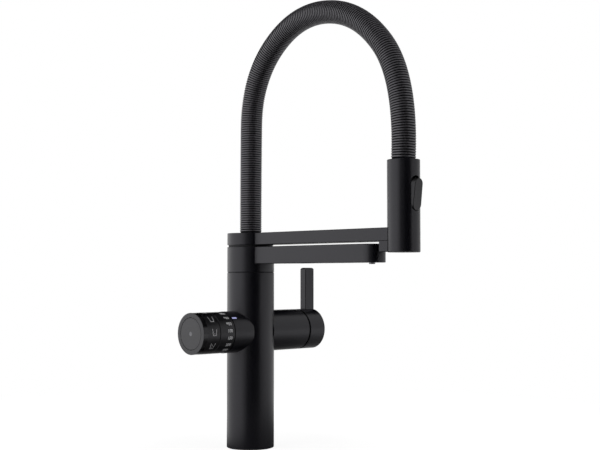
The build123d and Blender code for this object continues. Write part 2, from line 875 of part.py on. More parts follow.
def make_hose_cover(path):
    """The ribbed cover: one ruled loft through four circles a rib, less its bore."""
    crest, root = hose_r, hose_root_d / 2
    pitch = (path.length - 2 * hose_plain_end) / hose_rib_count
    circles = [(0.0, root)]
    for i in range(hose_rib_count):
        for share, radius in zip(rib_shares, (root, crest, crest, root)):
            circles.append((hose_plain_end + (i + share) * pitch, radius))
    circles.append((path.length, root))
    print("hose ribs", hose_rib_count, "at", round(pitch, 2), "mm")
    wires = [Wire.make_circle(radius, hose_plane(path, at)) for at, radius in circles]
    made = Part() + Solid.make_loft(wires, ruled=True)
    return made - sweep(hose_plane(path, 0) * Circle(hose_cover_bore_d / 2), path=path)


def make_inner_hose(path):
    """The plain pressure hose inside the cover."""
    start = hose_plane(path, 0)
    made = sweep(start * Circle(inner_hose_d / 2), path=path)
    return made - sweep(start * Circle(inner_hose_bore_d / 2), path=path)


def make_head_shell():
    """The head's outer tube with its closed top and the rocker's slot."""
    inner_r = head_r - head_wall
    made = turned(
        (inner_r, head_base),
        (head_r - edge_break, head_base),
        (head_r, head_base + edge_break),
        (head_r, head_top - edge_break),
        (head_r - edge_break, head_top),
        (fitting_body_r + loose, head_top),
        (fitting_body_r + loose, head_top - head_roof),
        (inner_r, head_top - head_roof),
    )
    half = rocker_width / 2 + rocker_side_gap
    low = rocker_z - rocker_length / 2 - rocker_side_gap + half
    high = rocker_z + rocker_length / 2 + rocker_top_gap - half
    made -= block((-half, -head_d, low), (half, rocker_pivot_y, high))
    for z in (low, high):
        made -= rod(half, (0, -head_d, z), (0, rocker_pivot_y, z))
    return at_head(made)


def make_head_core():
    """The diverter body inside the head, cut away behind the rocker."""
    low = head_base + head_core_base
    high = head_top - head_core_drop
    made = tube(head_core_r, 0, low, high)
    made -= tube(spool_r + running, 0, low + spool_floor, high)
    made -= tube(stream_hole_r, 0, low, high)
    made -= tube(head_channel_r, 0, low, high, 0, head_channel_y)
    for z in (rocker_z - spool_half, rocker_z + spool_half):
        made -= rod(head_port_r, (0, 0, z), (0, head_channel_y, z))
    swing = rocker_length / 2 * sin(radians(rocker_swing_deg)) - rocker_back
    pocket_back = rocker_pivot_y + max(swing, rocker_lug_r) + moving_clear
    half = rocker_width / 2 + 2 * moving_clear
    up = rocker_length / 2 + rocker_top_gap + 2 * moving_clear
    made -= block((-half, -head_r, rocker_z - up), (half, pocket_back, rocker_z + up))
    side = rocker_arm_half + rocker_tip_side
    tip_low = (-side, rocker_pivot_y, rocker_z - rocker_tip_room)
    made -= block(tip_low, (side, 0, rocker_z + rocker_tip_room))
    return at_head(made - rod(rocker_pin_r + running, *pivot_line(head_core_r)))


def pivot_line(half):
    """Two points on the rocker's pivot, each half to its side, about the head's axis."""
    return (-half, rocker_pivot_y, rocker_z), (half, rocker_pivot_y, rocker_z)


def make_rocker_button():
    """The rocker: drafted sides, a face that leans out at its top, and the spool's arm."""
    half = rocker_width / 2
    face_top = -(head_r + rocker_proud_top)
    face_bottom = -(head_r + rocker_proud_bottom)
    shell_y = -sqrt(head_r**2 - half**2)
    back = rocker_pivot_y - rocker_back
    outline = Rot(0, 0, 90) * SlotOverall(rocker_length, rocker_width)
    root = Plane(origin=(0, back, rocker_z), x_dir=(1, 0, 0), z_dir=(0, -1, 0))
    front = Plane(origin=(0, shell_y, rocker_z), x_dir=(1, 0, 0), z_dir=(0, -1, 0))
    made = extrude(root * outline, amount=back - shell_y)
    made += extrude(front * outline, amount=head_r, taper=rocker_draft_deg)
    lean = degrees(atan2(face_bottom - face_top, rocker_length))
    face_middle = (face_top + face_bottom) / 2
    cutter = block((-head_d, -head_d, -rocker_length), (head_d, 0, rocker_length))
    made -= Pos(0, face_middle, rocker_z) * Rot(lean, 0, 0) * cutter
    made = fillet(made.faces().sort_by(Axis.Y)[0].edges(), rocker_face_round)
    made += rod(rocker_lug_r, *pivot_line(rocker_lug_half))
    arm_low = (-rocker_arm_half, back, rocker_z - rocker_tip_r)
    made += block(arm_low, (rocker_arm_half, rocker_tip_y, rocker_z + rocker_tip_r))
    tip = [(x, rocker_tip_y, rocker_z) for x in (-rocker_arm_half, rocker_arm_half)]
    made += rod(rocker_tip_r, *tip)
    return at_head(made - rod(rocker_pin_r + running, *pivot_line(rocker_width)))


def make_rocker_pin():
    """The rocker's pivot pin."""
    return at_head(rod(rocker_pin_r, *pivot_line(rocker_pin_half)))


def make_diverter_spool():
    """The diverter spool that the rocker's arm slides up and down."""
    made = tube(spool_r, 0, rocker_z - spool_half, rocker_z + spool_half)
    low, high = rocker_z - spool_groove_half, rocker_z + spool_groove_half
    return at_head(made - tube(spool_r, spool_neck_r, low, high))


def spray_points():
    """The centres of the spray holes, about the head's axis."""
    return [polar(r, 360 * i / count) for r, count in nozzle_rings for i in range(count)]


def make_spray_face():
    """The face plate with its spray holes and the rim that covers the shell's edge."""
    made = tube(head_r - face_plate_inset, 0, face_plate_base, head_base)
    made += tube(head_core_r, 0, face_plate_base, mat_base)
    made -= tube(stream_hole_r, 0, face_plate_base, mat_base)
    for x, y in spray_points():
        made -= rod(spray_hole_r, (x, y, face_plate_base), (x, y, mat_base))
    return at_head(made)


def make_spray_nozzles():
    """The soft mat whose nozzles stand in the face plate's holes."""
    made = tube(head_core_r, stream_hole_r, mat_base, mat_base + nozzle_mat_thickness)
    for x, y in spray_points():
        made += rod(spray_nozzle_r, (x, y, face_plate_base), (x, y, mat_base))
    return at_head(made)


def saddled(radius, end_x):
    """A round body along +X that saddles against the column, with its neck inside it."""
    body = along_x(tube(radius, 0, manifold_half_x, end_x))
    body -= tube(column_r + loose, 0, 0, column_height)
    return body + along_x(tube(neck_r, 0, manifold_half_x, column_r + neck_overlap))


def led_box(gap):
    """The light window's box, set radially in the sleeve and widened by a gap."""
    angle = radians(led_angle_deg)
    outward = Vector(0, -cos(angle), sin(angle))
    middle_x = -(sleeve_front_x - led_margin - led_length / 2)
    surface = Vector(middle_x, 0, cross_z) + outward * (dial_sleeve_d / 2)
    box = Box(led_length + 2 * gap, led_width + 2 * gap, 2 * (led_depth + gap))
    return Plane(origin=surface, x_dir=(1, 0, 0), z_dir=outward) * box


def make_dial_sleeve():
    """The fixed sleeve that saddles against the column and carries the dial's spindle."""
    made = Rot(0, 0, 180) * saddled(dial_sleeve_d / 2, sleeve_front_x)
    made -= along_minus_x(tube(dial_spindle_r + loose, 0, column_bore_r, sleeve_front_x))
    made -= along_minus_x(tube(dial_wire_hole_r, 0, manifold_half_x, column_bore_r))
    for y in (-dial_screw_y, dial_screw_y):
        seat = (-column_bore_r, y, cross_z)
        made -= rod(m4_r + loose, seat, (-manifold_half_x, y, cross_z))
    return made - led_box(loose)


def make_led_window():
    """The light window, flush with the sleeve."""
    return led_box(0) & along_minus_x(tube(dial_sleeve_d / 2, 0, 0, sleeve_front_x))


def make_dial_screws():
    """The two screws that hold the dial's sleeve to the manifold."""
    made = Part()
    length = column_bore_r - manifold_screw_end
    for y in (-dial_screw_y, dial_screw_y):
        seat = (-column_bore_r, y, cross_z)
        made += cap_screw(m4_r, (m4_head_r, m4_head_h), seat, (1, 0, 0), length)
    return made


def keeper_screw_points():
    """The keeper screws' centres, in the middle of the dial spindle's wall."""
    return [polar(dial_spindle_r - keeper_screw_inset, angle) for angle in keeper_screw_angles]


def make_dial_spindle():
    """The hollow spindle that both dial rings turn on."""
    made = tube(dial_spindle_r, dial_spindle_bore_d / 2, column_bore_r + loose, keeper_back_x)
    for x, y in keeper_screw_points():
        bottom = keeper_back_x - keeper_screw_depth
        made -= rod(m2_r + loose, (x, y, bottom), (x, y, keeper_back_x))
    return along_minus_x(made)


def make_dial_keeper():
    """The plate on the spindle's end that keeps the rings on and guides the button."""
    made = tube(keeper_d / 2, button_stem_d / 2 + running, keeper_back_x, keeper_x)
    for x, y in keeper_screw_points():
        made -= rod(m2_r + loose, (x, y, keeper_back_x), (x, y, keeper_x))
    return along_minus_x(made)


def make_keeper_screws():
    """The three screws that hold the keeper plate."""
    made = Part()
    length = keeper_screw_depth + keeper_thickness - m2_head_h
    for x, y in keeper_screw_points():
        made += cap_screw(m2_r, (m2_head_r, m2_head_h), (x, y, keeper_x), (0, 0, -1), length)
    return along_minus_x(made)


def make_dial_washers():
    """The two thin washers that show as grooves beside the portion ring."""
    inner, outer = dial_spindle_r + loose, dial_washer_d / 2
    made = tube(outer, inner, groove_one_x - dial_groove, groove_one_x)
    return along_minus_x(made + tube(outer, inner, sleeve_front_x, groove_two_x))


def dial_ring(back, front):
    """A dial ring between two distances from the column's axis."""
    r, bore_r = dial_d / 2, dial_spindle_r + running
    outline = [(bore_r, back), (r - edge_break, back), (r, back + edge_break)]
    return turned(*outline, (r, front - edge_break), (r - edge_break, front), (bore_r, front))


def make_select_ring():
    """The front ring, which picks the kind of water, with a hollow for the button."""
    hollow_r = button_d / 2 + moving_clear
    made = dial_ring(groove_one_x, dial_face_x)
    return along_minus_x(made - tube(hollow_r, 0, keeper_back_x - running, dial_face_x))


def make_portion_ring():
    """The rear ring, which sets the amount."""
    return along_minus_x(dial_ring(groove_two_x, groove_one_x - dial_groove))


def make_touch_button():
    """The round button in the dial's end face, with its guide stem."""
    r, stem_r = button_d / 2, button_stem_d / 2
    made = turned(
        (0, keeper_back_x - button_stem_tail),
        (stem_r, keeper_back_x - button_stem_tail),
        (stem_r, keeper_back_x - button_clip_groove),
        (button_neck_r, keeper_back_x - button_clip_groove),
        (button_neck_r, keeper_back_x),
        (stem_r, keeper_back_x),
        (stem_r, button_back_x),
        (r, button_back_x),
        (r, dial_face_x - edge_break),
        (r - edge_break, dial_face_x),
        (0, dial_face_x),
    )
    made -= tube(light_d / 2 + running, 0, dial_face_x - light_depth, dial_face_x)
    return along_minus_x(made)


def make_button_light():
    """The small light dot in the middle of the button."""
    return along_minus_x(tube(light_d / 2, 0, dial_face_x - light_depth, dial_face_x))


def make_button_clip():
    """The ring behind the keeper that keeps the button in."""
    low = keeper_back_x - (button_clip_groove + button_clip_thickness) / 2
    inner_r = button_neck_r + running
    made = open_ring(inner_r, button_clip_width, low, button_clip_thickness, button_clip_gap)
    return along_minus_x(made)


def make_button_return_ring():
    """The soft ring between the keeper and the button that pushes it back out."""
    outer = return_ring_d / 2
    return along_minus_x(tube(outer, outer - return_ring_wall, keeper_x, button_back_x))


def make_sensor_board():
    """The dial's sensor board inside the spindle, with a hole for its wires."""
    back = board_x - board_thickness
    made = tube(dial_spindle_bore_d / 2 - loose, 0, back, board_x)
    return along_minus_x(made - tube(board_hole_r, 0, back, board_x, board_hole_up, 0))


def make_mixer_body():
    """The fixed mixer body with its neck, waterways and cartridge chamber."""
    made = saddled(mixer_r, mixer_body_end_x)
    made -= along_x(tube(cartridge_d / 2 + loose, 0, chamber_floor_x, mixer_body_end_x))
    for y, up in mixer_ports():
        z = cross_z + up
        made -= rod(port_r, (manifold_half_x, y, z), (chamber_floor_x, y, z))
        sink = (manifold_half_x + port_seal_sink, y, z)
        made -= rod(port_seal_r + port_seal_section_r + loose, (manifold_half_x, y, z), sink)
    for y, up in mixer_screw_places:
        z = cross_z + up
        made -= rod(m4_r + loose, (manifold_half_x, y, z), (mixer_screw_seat_x, y, z))
        made -= rod(m4_head_r + loose, (mixer_screw_seat_x, y, z), (chamber_floor_x, y, z))
    return made


def make_mixer_screws():
    """The three screws that hold the mixer's body to the manifold."""
    made = Part()
    length = mixer_screw_seat_x - manifold_screw_end
    for y, up in mixer_screw_places:
        seat = (mixer_screw_seat_x, y, cross_z + up)
        made += cap_screw(m4_r, (m4_head_r, m4_head_h), seat, (-1, 0, 0), length)
    return made


def make_mixer_seals():
    """The three seal rings between the manifold and the mixer's neck."""
    x = manifold_half_x + port_seal_sink / 2
    made = Part()
    for y, up in mixer_ports():
        made += ring_seal(port_seal_r, port_seal_section_r, (x, y, cross_z + up), (1, 0, 0))
    return made


def drilled(shape, radius, start, end):
    """A cartridge piece with the three waterways drilled along X."""
    for y, up in mixer_ports():
        z = cross_z + up
        shape -= rod(radius, (start, y, z), (end, y, z))
    return shape


def make_cartridge_base():
    """The cartridge's base on the chamber's floor."""
    base = along_x(tube(cartridge_d / 2, 0, chamber_floor_x, disc_start_x))
    return drilled(base, port_r, chamber_floor_x, disc_start_x)


def make_fixed_ceramic_disc():
    """The fixed ceramic disc with its three ports."""
    disc = along_x(tube(ceramic_d / 2, 0, disc_start_x, moving_disc_x))
    return drilled(disc, disc_port_r, disc_start_x, moving_disc_x)


def make_moving_ceramic_disc():
    """The turning ceramic disc, with the mixing pocket in its face."""
    made = along_x(tube(ceramic_d / 2 - moving_clear, 0, moving_disc_x, carrier_x))
    (y_low, y_high), (z_low, z_high) = mixing_pocket
    low = (moving_disc_x, y_low, cross_z + z_low)
    return made - block(low, (moving_disc_x + disc_length / 2, y_high, cross_z + z_high))


def make_cartridge_housing():
    """The cartridge's housing round the discs, which guides the stem."""
    inner, bore_r = ceramic_d / 2 + loose, stem_d / 2 + running
    made = turned(
        (inner, disc_start_x),
        (cartridge_d / 2, disc_start_x),
        (cartridge_d / 2, housing_end_x),
        (bore_r, housing_end_x),
        (bore_r, housing_end_x - housing_roof),
        (inner, housing_end_x - housing_roof),
    )
    return along_x(made)


def make_cartridge_nut():
    """The nut that holds the cartridge in the mixer's body."""
    end = housing_end_x + nut_length
    return along_x(tube(cartridge_d / 2, nut_bore_d / 2, housing_end_x, end))


def make_cartridge_stem():
    """The stem that turns the moving disc, with its carrier plate."""
    made = tube(carrier_d / 2, 0, carrier_x, carrier_x + carrier_length)
    return along_x(made + tube(stem_d / 2, 0, carrier_x, stem_end_x))


def make_cap_glide_ring():
    """The black ring at the bottom of the groove between body and cap."""
    outer = mixer_r - mixer_groove_depth
    return along_x(tube(outer, glide_ring_bore_d / 2, mixer_body_end_x, cap_inner_x))


def tenon(gap):
    """The lever's tenon inside the cap, widened by a gap."""
    half = lever_y_width / 2 - tenon_side_inset + gap
    low = (lever_x + tenon_inset - gap, -half, cross_z + mixer_r - tenon_depth - gap)
    high = (mixer_end_x - tenon_inset + gap, half, cross_z + mixer_r + tenon_overlap)
    return block(low, high)


def grub_line(inner_r, outer_r):
    """Two points on the cap's grub screw, straight down from the cross axis."""
    x = cap_inner_x + cap_grub_x
    return (x, 0, cross_z - inner_r), (x, 0, cross_z - outer_r)


def make_lever_cap():
    """The mixer's turning end cap, with the socket for the stem and the lever's mortise."""
    bore_r, boss_r = stem_d / 2 + running, cap_boss_d / 2
    made = turned(
        (bore_r, cap_inner_x - cap_boss_length),
        (boss_r, cap_inner_x - cap_boss_length),
        (boss_r, cap_inner_x),
        (mixer_r - edge_break, cap_inner_x),
        (mixer_r, cap_inner_x + edge_break),
        (mixer_r, mixer_end_x - cap_edge),
        (mixer_r - cap_edge, mixer_end_x),
        (0, mixer_end_x),
        (0, stem_end_x + loose),
        (bore_r, stem_end_x + loose),
    )
    return along_x(made) - tenon(loose) - rod(grub_r + loose, *grub_line(0, mixer_d))


def make_lever_grub_screw():
    """The screw under the cap that locks it to the stem."""
    return rod(grub_r, *grub_line(stem_d / 2 + running, mixer_r - cap_grub_depth))


def make_lever_bar():
    """The upright lever: a flat bar that saddles on the cap, with its tenon."""
    half = lever_y_width / 2
    low = (lever_x, -half, cross_z + mixer_r - half)
    bar = block(low, (mixer_end_x, half, cross_z + lever_top_above_axis))
    made = fillet(bar.edges().filter_by(Axis.Z), lever_side_round)
    made &= fillet(bar.edges().filter_by(Axis.Y).group_by(Axis.Z)[-1], lever_corner)
    made &= fillet(bar.edges().filter_by(Axis.X).group_by(Axis.Z)[-1], lever_top_round)
    made -= along_x(tube(mixer_r + loose, 0, cap_inner_x, mixer_end_x))
    return made + tenon(0)


def write_parts():
    """Builds every piece and writes each to its own file."""
    path = hose_path()
    parts = {
        "column_tube": make_column_tube(),
        "foot_plate": make_foot_plate(),
        "base_gasket": make_base_gasket(),
        "threaded_shank": make_threaded_shank(),
        "column_screws": make_column_screws(),
        "inlet_block": make_inlet_block(),
        "supply_risers": make_supply_risers(),
        "valve_manifold": make_valve_manifold(),
        "spout_risers": make_spout_risers(),
        "swivel_spindle": make_swivel_spindle(),
        "spindle_seals": make_spindle_seals(),
        "spindle_circlip": make_spindle_circlip(),
        "lower_glide_washer": make_lower_glide_washer(),
        "hub_spacer_ring": make_hub_spacer_ring(),
        "lower_arm": make_lower_arm(),
        "spout_tube": make_spout_tube(),
        "nozzle_block": make_nozzle_block(),
        "spout_aerator": make_spout_aerator(),
        "upper_arm": make_upper_arm(),
        "dock_block": make_dock_block(),
        "dock_magnet": magnet_space(0),
        "dock_screws": make_dock_screws(),
        "hose_socket": make_hose_socket(),
        "hose_cover": make_hose_cover(path),
        "inner_hose": make_inner_hose(path),
        "hose_nipple": make_hose_nipple(),
        "head_shell": make_head_shell(),
        "head_core": make_head_core(),
        "spray_face": make_spray_face(),
        "spray_nozzles": make_spray_nozzles(),
        "rocker_button": make_rocker_button(),
        "rocker_pin": make_rocker_pin(),
        "diverter_spool": make_diverter_spool(),
        "dial_sleeve": make_dial_sleeve(),
        "led_window": make_led_window(),
        "dial_screws": make_dial_screws(),
        "dial_spindle": make_dial_spindle(),
        "dial_keeper": make_dial_keeper(),
        "keeper_screws": make_keeper_screws(),
        "dial_washers": make_dial_washers(),
        "select_ring": make_select_ring(),
        "portion_ring": make_portion_ring(),
        "touch_button": make_touch_button(),
        "button_light": make_button_light(),
        "button_clip": make_button_clip(),
        "button_return_ring": make_button_return_ring(),
        "sensor_board": make_sensor_board(),
        "mixer_body": make_mixer_body(),
        "mixer_screws": make_mixer_screws(),
        "mixer_seals": make_mixer_seals(),
        "cartridge_base": make_cartridge_base(),
        "fixed_ceramic_disc": make_fixed_ceramic_disc(),
        "moving_ceramic_disc": make_moving_ceramic_disc(),
        "cartridge_housing": make_cartridge_housing(),
        "cartridge_nut": make_cartridge_nut(),
        "cartridge_stem": make_cartridge_stem(),
        "cap_glide_ring": make_cap_glide_ring(),
        "lever_cap": make_lever_cap(),
        "lever_grub_screw": make_lever_grub_screw(),
        "lever_bar": make_lever_bar(),
    }
    os.makedirs("parts", exist_ok=True)
    for name, shape in parts.items():
        export_step(shape, f"parts/{name}.step")
    print(len(parts), "pieces written")


write_parts()
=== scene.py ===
# %% [markdown]
# # A kitchen tap with a hose spray, a dial and a mixer
# A matt black column carries two arms, a spray head on an arched ribbed hose, a dial on its
# left and a mixer with a lever on its right. The turned and milled pieces come from the CAD
# model, because their shapes are exact there. This lesson gives them their finish, and makes
# what the CAD model only stands in for: the ribbed hose, the soft ring behind the button and the
# printed marks.

# %% Load the CAD model
import math
import bpy
import numpy as np
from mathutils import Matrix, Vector


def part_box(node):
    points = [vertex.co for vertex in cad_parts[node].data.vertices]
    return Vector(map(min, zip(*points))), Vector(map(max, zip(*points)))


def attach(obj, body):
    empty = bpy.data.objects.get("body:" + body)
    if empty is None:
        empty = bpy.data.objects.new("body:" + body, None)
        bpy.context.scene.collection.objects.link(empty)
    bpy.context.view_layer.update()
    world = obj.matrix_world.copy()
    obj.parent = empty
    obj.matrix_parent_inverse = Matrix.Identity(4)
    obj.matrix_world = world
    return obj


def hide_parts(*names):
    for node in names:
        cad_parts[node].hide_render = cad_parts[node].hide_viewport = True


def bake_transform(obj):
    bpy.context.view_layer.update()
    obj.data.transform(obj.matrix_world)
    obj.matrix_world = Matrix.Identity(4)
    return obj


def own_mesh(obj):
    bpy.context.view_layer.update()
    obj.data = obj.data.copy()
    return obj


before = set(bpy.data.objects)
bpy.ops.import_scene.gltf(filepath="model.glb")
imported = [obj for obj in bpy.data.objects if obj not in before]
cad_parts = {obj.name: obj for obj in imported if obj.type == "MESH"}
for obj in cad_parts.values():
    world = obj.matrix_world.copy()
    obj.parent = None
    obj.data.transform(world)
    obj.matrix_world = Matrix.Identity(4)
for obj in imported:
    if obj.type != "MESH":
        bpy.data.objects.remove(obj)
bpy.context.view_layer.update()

# %% [markdown]
# ## Camera
# The camera looks from the left front, from the height of the column's top and tilted up a little.
# A long lens keeps the column's sides nearly parallel, so it stands over a metre away. Its place
# and its direction came from matching the column, the arms and the dial.

# %% Place the camera
LENS_MM, SENSOR_MM = 65.08, 36
CAMERA_PLACE = Vector((-0.77428, -0.86477, 0.18155))
CAMERA_AIM = Vector((0.69941, 0.71322, 0.04623))

camera = bpy.data.objects.new("camera", bpy.data.cameras.new("camera"))
bpy.context.scene.collection.objects.link(camera)
camera.data.lens = LENS_MM
camera.data.sensor_width = SENSOR_MM
camera.location = CAMERA_PLACE
camera.rotation_euler = CAMERA_AIM.to_track_quat("-Z", "Y").to_euler()
bpy.context.scene.camera = camera
print("camera at", tuple(camera.location))

# %% [markdown]
# ## The hose's line
# A spray hose is a pressure hose in a sprung ribbed cover. It stands straight up out of the
# column, bends over in one arch under its own stiffness, and comes down straight into the
# head. One smooth spline near a few chosen points gives that line. The points are those of the
# hose's solid, moved a few millimetres so that the arch has the right outline, with one
# more on the long straight leg. The ribs follow the spline.

# %% Draw the hose's line
HOSE_POINTS = [
    (0, 0, 0.227),
    (0, 0, 0.288),
    (0, -0.0014, 0.3915),
    (0, -0.069, 0.451),
    (0, -0.1565, 0.4405),
    (0, -0.217, 0.367),
    (0, -0.213, 0.290),
]
SPLINE_ORDER, SPLINE_STEPS = 3, 40

route = bpy.data.curves.new("hose_route", "CURVE")
route.dimensions = "3D"
route.resolution_u = SPLINE_STEPS
spline = route.splines.new("NURBS")
spline.points.add(len(HOSE_POINTS) - 1)
for point, place in zip(spline.points, HOSE_POINTS):
    point.co = (*place, 1)
spline.order_u = SPLINE_ORDER
spline.use_endpoint_u = True
route_object = bpy.data.objects.new("hose_route", route)
route_mesh = bpy.data.meshes.new_from_object(route_object)
hose_line = np.array([vertex.co for vertex in route_mesh.vertices])
hose_steps = np.linalg.norm(np.diff(hose_line, axis=0), axis=1)
hose_along = np.concatenate([[0], np.cumsum(hose_steps)])
hose_length = float(hose_along[-1])
bpy.data.objects.remove(route_object)
print("hose length", round(hose_length, 4), "m over", len(hose_line), "points")


# %% [markdown]
# ## Rings along the line
# A tube that follows a line is a row of rings, each square to the line. The hose bends in one
# upright plane, so every ring can share the same sideways direction, and nothing twists.

# %% Rings along the hose
LOOK_AHEAD = 0.0015
SMOOTH_ANGLE = math.radians(50)


def hose_point(distance):
    """The point at a distance along the hose."""
    return Vector([np.interp(distance, hose_along, hose_line[:, i]) for i in range(3)])


def hose_place(distance):
    """The point at a distance along the hose, and the direction across it in its plane."""
    ahead = hose_point(distance + LOOK_AHEAD) - hose_point(distance - LOOK_AHEAD)
    return hose_point(distance), ahead.normalized().cross(Vector((1, 0, 0)))


def ring_tube(name, rings, sides):
    """A closed tube through rings (distance along, radius, crest); the last joins the first."""
    points, faces, values = [], [], []
    for distance, radius, value in rings:
        middle, across = hose_place(distance)
        for i in range(sides):
            angle = 2 * math.pi * i / sides
            out = Vector((math.cos(angle), 0, 0)) + across * math.sin(angle)
            points.append(middle + out * radius)
            values.append(value)
    for i in range(len(rings)):
        low, high = i * sides, (i + 1) % len(rings) * sides
        for j in range(sides):
            k = (j + 1) % sides
            faces.append((low + j, high + j, high + k, low + k))
    mesh = bpy.data.meshes.new(name)
    mesh.from_pydata(points, [], faces)
    mesh.attributes.new("crest", "FLOAT", "POINT").data.foreach_set("value", values)
    made = bpy.data.objects.new(name, mesh)
    bpy.context.scene.collection.objects.link(made)
    return made


def only(piece):
    """Selects one object and makes it the active one."""
    bpy.ops.object.select_all(action="DESELECT")
    piece.select_set(True)
    bpy.context.view_layer.objects.active = piece


def recalculate(piece):
    """Turns all faces outwards."""
    only(piece)
    bpy.ops.object.mode_set(mode="EDIT")
    bpy.ops.mesh.select_all(action="SELECT")
    bpy.ops.mesh.normals_make_consistent(inside=False)
    bpy.ops.object.mode_set(mode="OBJECT")


print("ring helpers ready")

# %% [markdown]
# ## The ribbed cover
# The cover is moulded with about ten ribs to the inch, which lets it bend without kinking. A
# rib rises, rounds over and falls again within two and a half millimetres, so seven rings make
# one rib. Each point also keeps how high it stands, which the rubber's material uses later.

# %% Make the ribbed cover
RIB_COUNT, RIB_SIDES, BORE_STEPS = 203, 44, 60
PLAIN_END = 0.0006
CREST_R, ROOT_R, COVER_BORE_R = 0.0116, 0.0109, 0.0084
RIB_PROFILE = ((0.0, 0.0), (0.16, 0.0), (0.2, 0.8), (0.26, 1.0), (0.74, 1.0), (0.8, 0.8), (0.84, 0.0))

rib_pitch = (hose_length - 2 * PLAIN_END) / RIB_COUNT
rings = [(0.0, ROOT_R, 0.0)]
for i in range(RIB_COUNT):
    for share, height in RIB_PROFILE:
        radius = ROOT_R + (CREST_R - ROOT_R) * height
        rings.append((PLAIN_END + (i + share) * rib_pitch, radius, height))
rings.append((hose_length, ROOT_R, 0.0))
for i in range(BORE_STEPS + 1):
    rings.append((hose_length * (1 - i / BORE_STEPS), COVER_BORE_R, 0.0))
hose_cover = ring_tube("ribbed_hose", rings, RIB_SIDES)
recalculate(hose_cover)
bpy.ops.object.shade_smooth_by_angle(angle=SMOOTH_ANGLE)
print("ribs", RIB_COUNT, "at", round(rib_pitch * 1000, 3), "mm,", len(hose_cover.data.polygons), "faces")

# %% [markdown]
# ## The pressure hose inside
# Inside the cover runs the hose that carries the water. It is a plain thick-walled tube, and
# the cover hides it, so few rings are enough.

# %% Make the pressure hose
INNER_R, INNER_BORE_R, INNER_SIDES = 0.0080, 0.0056, 32

inner_rings = []
for radius, first, last in ((INNER_R, 0, 1), (INNER_BORE_R, 1, 0)):
    for i in range(BORE_STEPS + 1):
        share = first + (last - first) * i / BORE_STEPS
        inner_rings.append((hose_length * share, radius, 0.0))
pressure_hose = ring_tube("pressure_hose", inner_rings, INNER_SIDES)
recalculate(pressure_hose)
bpy.ops.object.shade_smooth_by_angle(angle=SMOOTH_ANGLE)
print("pressure hose faces", len(pressure_hose.data.polygons))

# %% Fix the hose pieces in place and hide the CAD hose solids
for piece, node in ((hose_cover, "hose_cover"), (pressure_hose, "inner_hose")):
    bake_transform(piece)
    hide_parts(node)

# %% [markdown]
# ## Shared surface effects
# No lacquer is perfectly even. A fine grain breaks up the gloss and soft patches come from
# handling and drying. Corners are painted a little brighter, a painted highlight for the light
# that rounded edges catch. These three effects are used by almost every finish, so each is
# built once as a node group and placed with its own values.


# %% Helpers for node groups
def new_group(name, inputs, outputs):
    """A node group with float inputs (name, default) and outputs (name, socket kind)."""
    group = bpy.data.node_groups.new(name, "ShaderNodeTree")
    for label, default in inputs:
        socket = group.interface.new_socket(label, in_out="INPUT", socket_type="NodeSocketFloat")
        socket.default_value = default
    for label, kind in outputs:
        group.interface.new_socket(label, in_out="OUTPUT", socket_type=kind)
    return group, group.nodes.new("NodeGroupInput"), group.nodes.new("NodeGroupOutput")


def add(tree, kind, **settings):
    """Adds a node and sets its properties."""
    node = tree.nodes.new(kind)
    for label, value in settings.items():
        setattr(node, label, value)
    return node


def put(node, **values):
    """Sets a node's input values by name, with _ for a space."""
    for label, value in values.items():
        node.inputs[label.replace("_", " ")].default_value = value
    return node


def ramp(tree, source, low, high, start=0.0, end=1.0):
    """A value that goes from low to high while its source goes from start to end."""
    node = put(add(tree, "ShaderNodeMapRange"), From_Min=start, From_Max=end, To_Min=low, To_Max=high)
    tree.links.new(source, node.inputs["Value"])
    return node.outputs["Result"]


print("node helpers ready")

# %% Fine grain
grain, grain_in, grain_out = new_group(
    "fine_grain", (("Size", 900.0), ("Detail", 3.0)), (("Grain", "NodeSocketFloat"),)
)
coordinates = add(grain, "ShaderNodeTexCoord")
noise = put(add(grain, "ShaderNodeTexNoise"), Roughness=0.6)
grain.links.new(coordinates.outputs["Object"], noise.inputs["Vector"])
grain.links.new(grain_in.outputs["Size"], noise.inputs["Scale"])
grain.links.new(grain_in.outputs["Detail"], noise.inputs["Detail"])
grain.links.new(noise.outputs["Fac"], grain_out.inputs["Grain"])
print("group", grain.name)

# %% Soft patches
patches, patches_in, patches_out = new_group(
    "soft_patches", (("Size", 25.0), ("Low", 0.35), ("High", 0.75)), (("Patches", "NodeSocketFloat"),)
)
coordinates = add(patches, "ShaderNodeTexCoord")
noise = put(add(patches, "ShaderNodeTexNoise"), Detail=4.0, Roughness=0.55)
spread = add(patches, "ShaderNodeMapRange", interpolation_type="SMOOTHSTEP")
patches.links.new(coordinates.outputs["Object"], noise.inputs["Vector"])
patches.links.new(patches_in.outputs["Size"], noise.inputs["Scale"])
patches.links.new(noise.outputs["Fac"], spread.inputs["Value"])
patches.links.new(patches_in.outputs["Low"], spread.inputs["From Min"])
patches.links.new(patches_in.outputs["High"], spread.inputs["From Max"])
patches.links.new(spread.outputs["Result"], patches_out.inputs["Patches"])
print("group", patches.name)
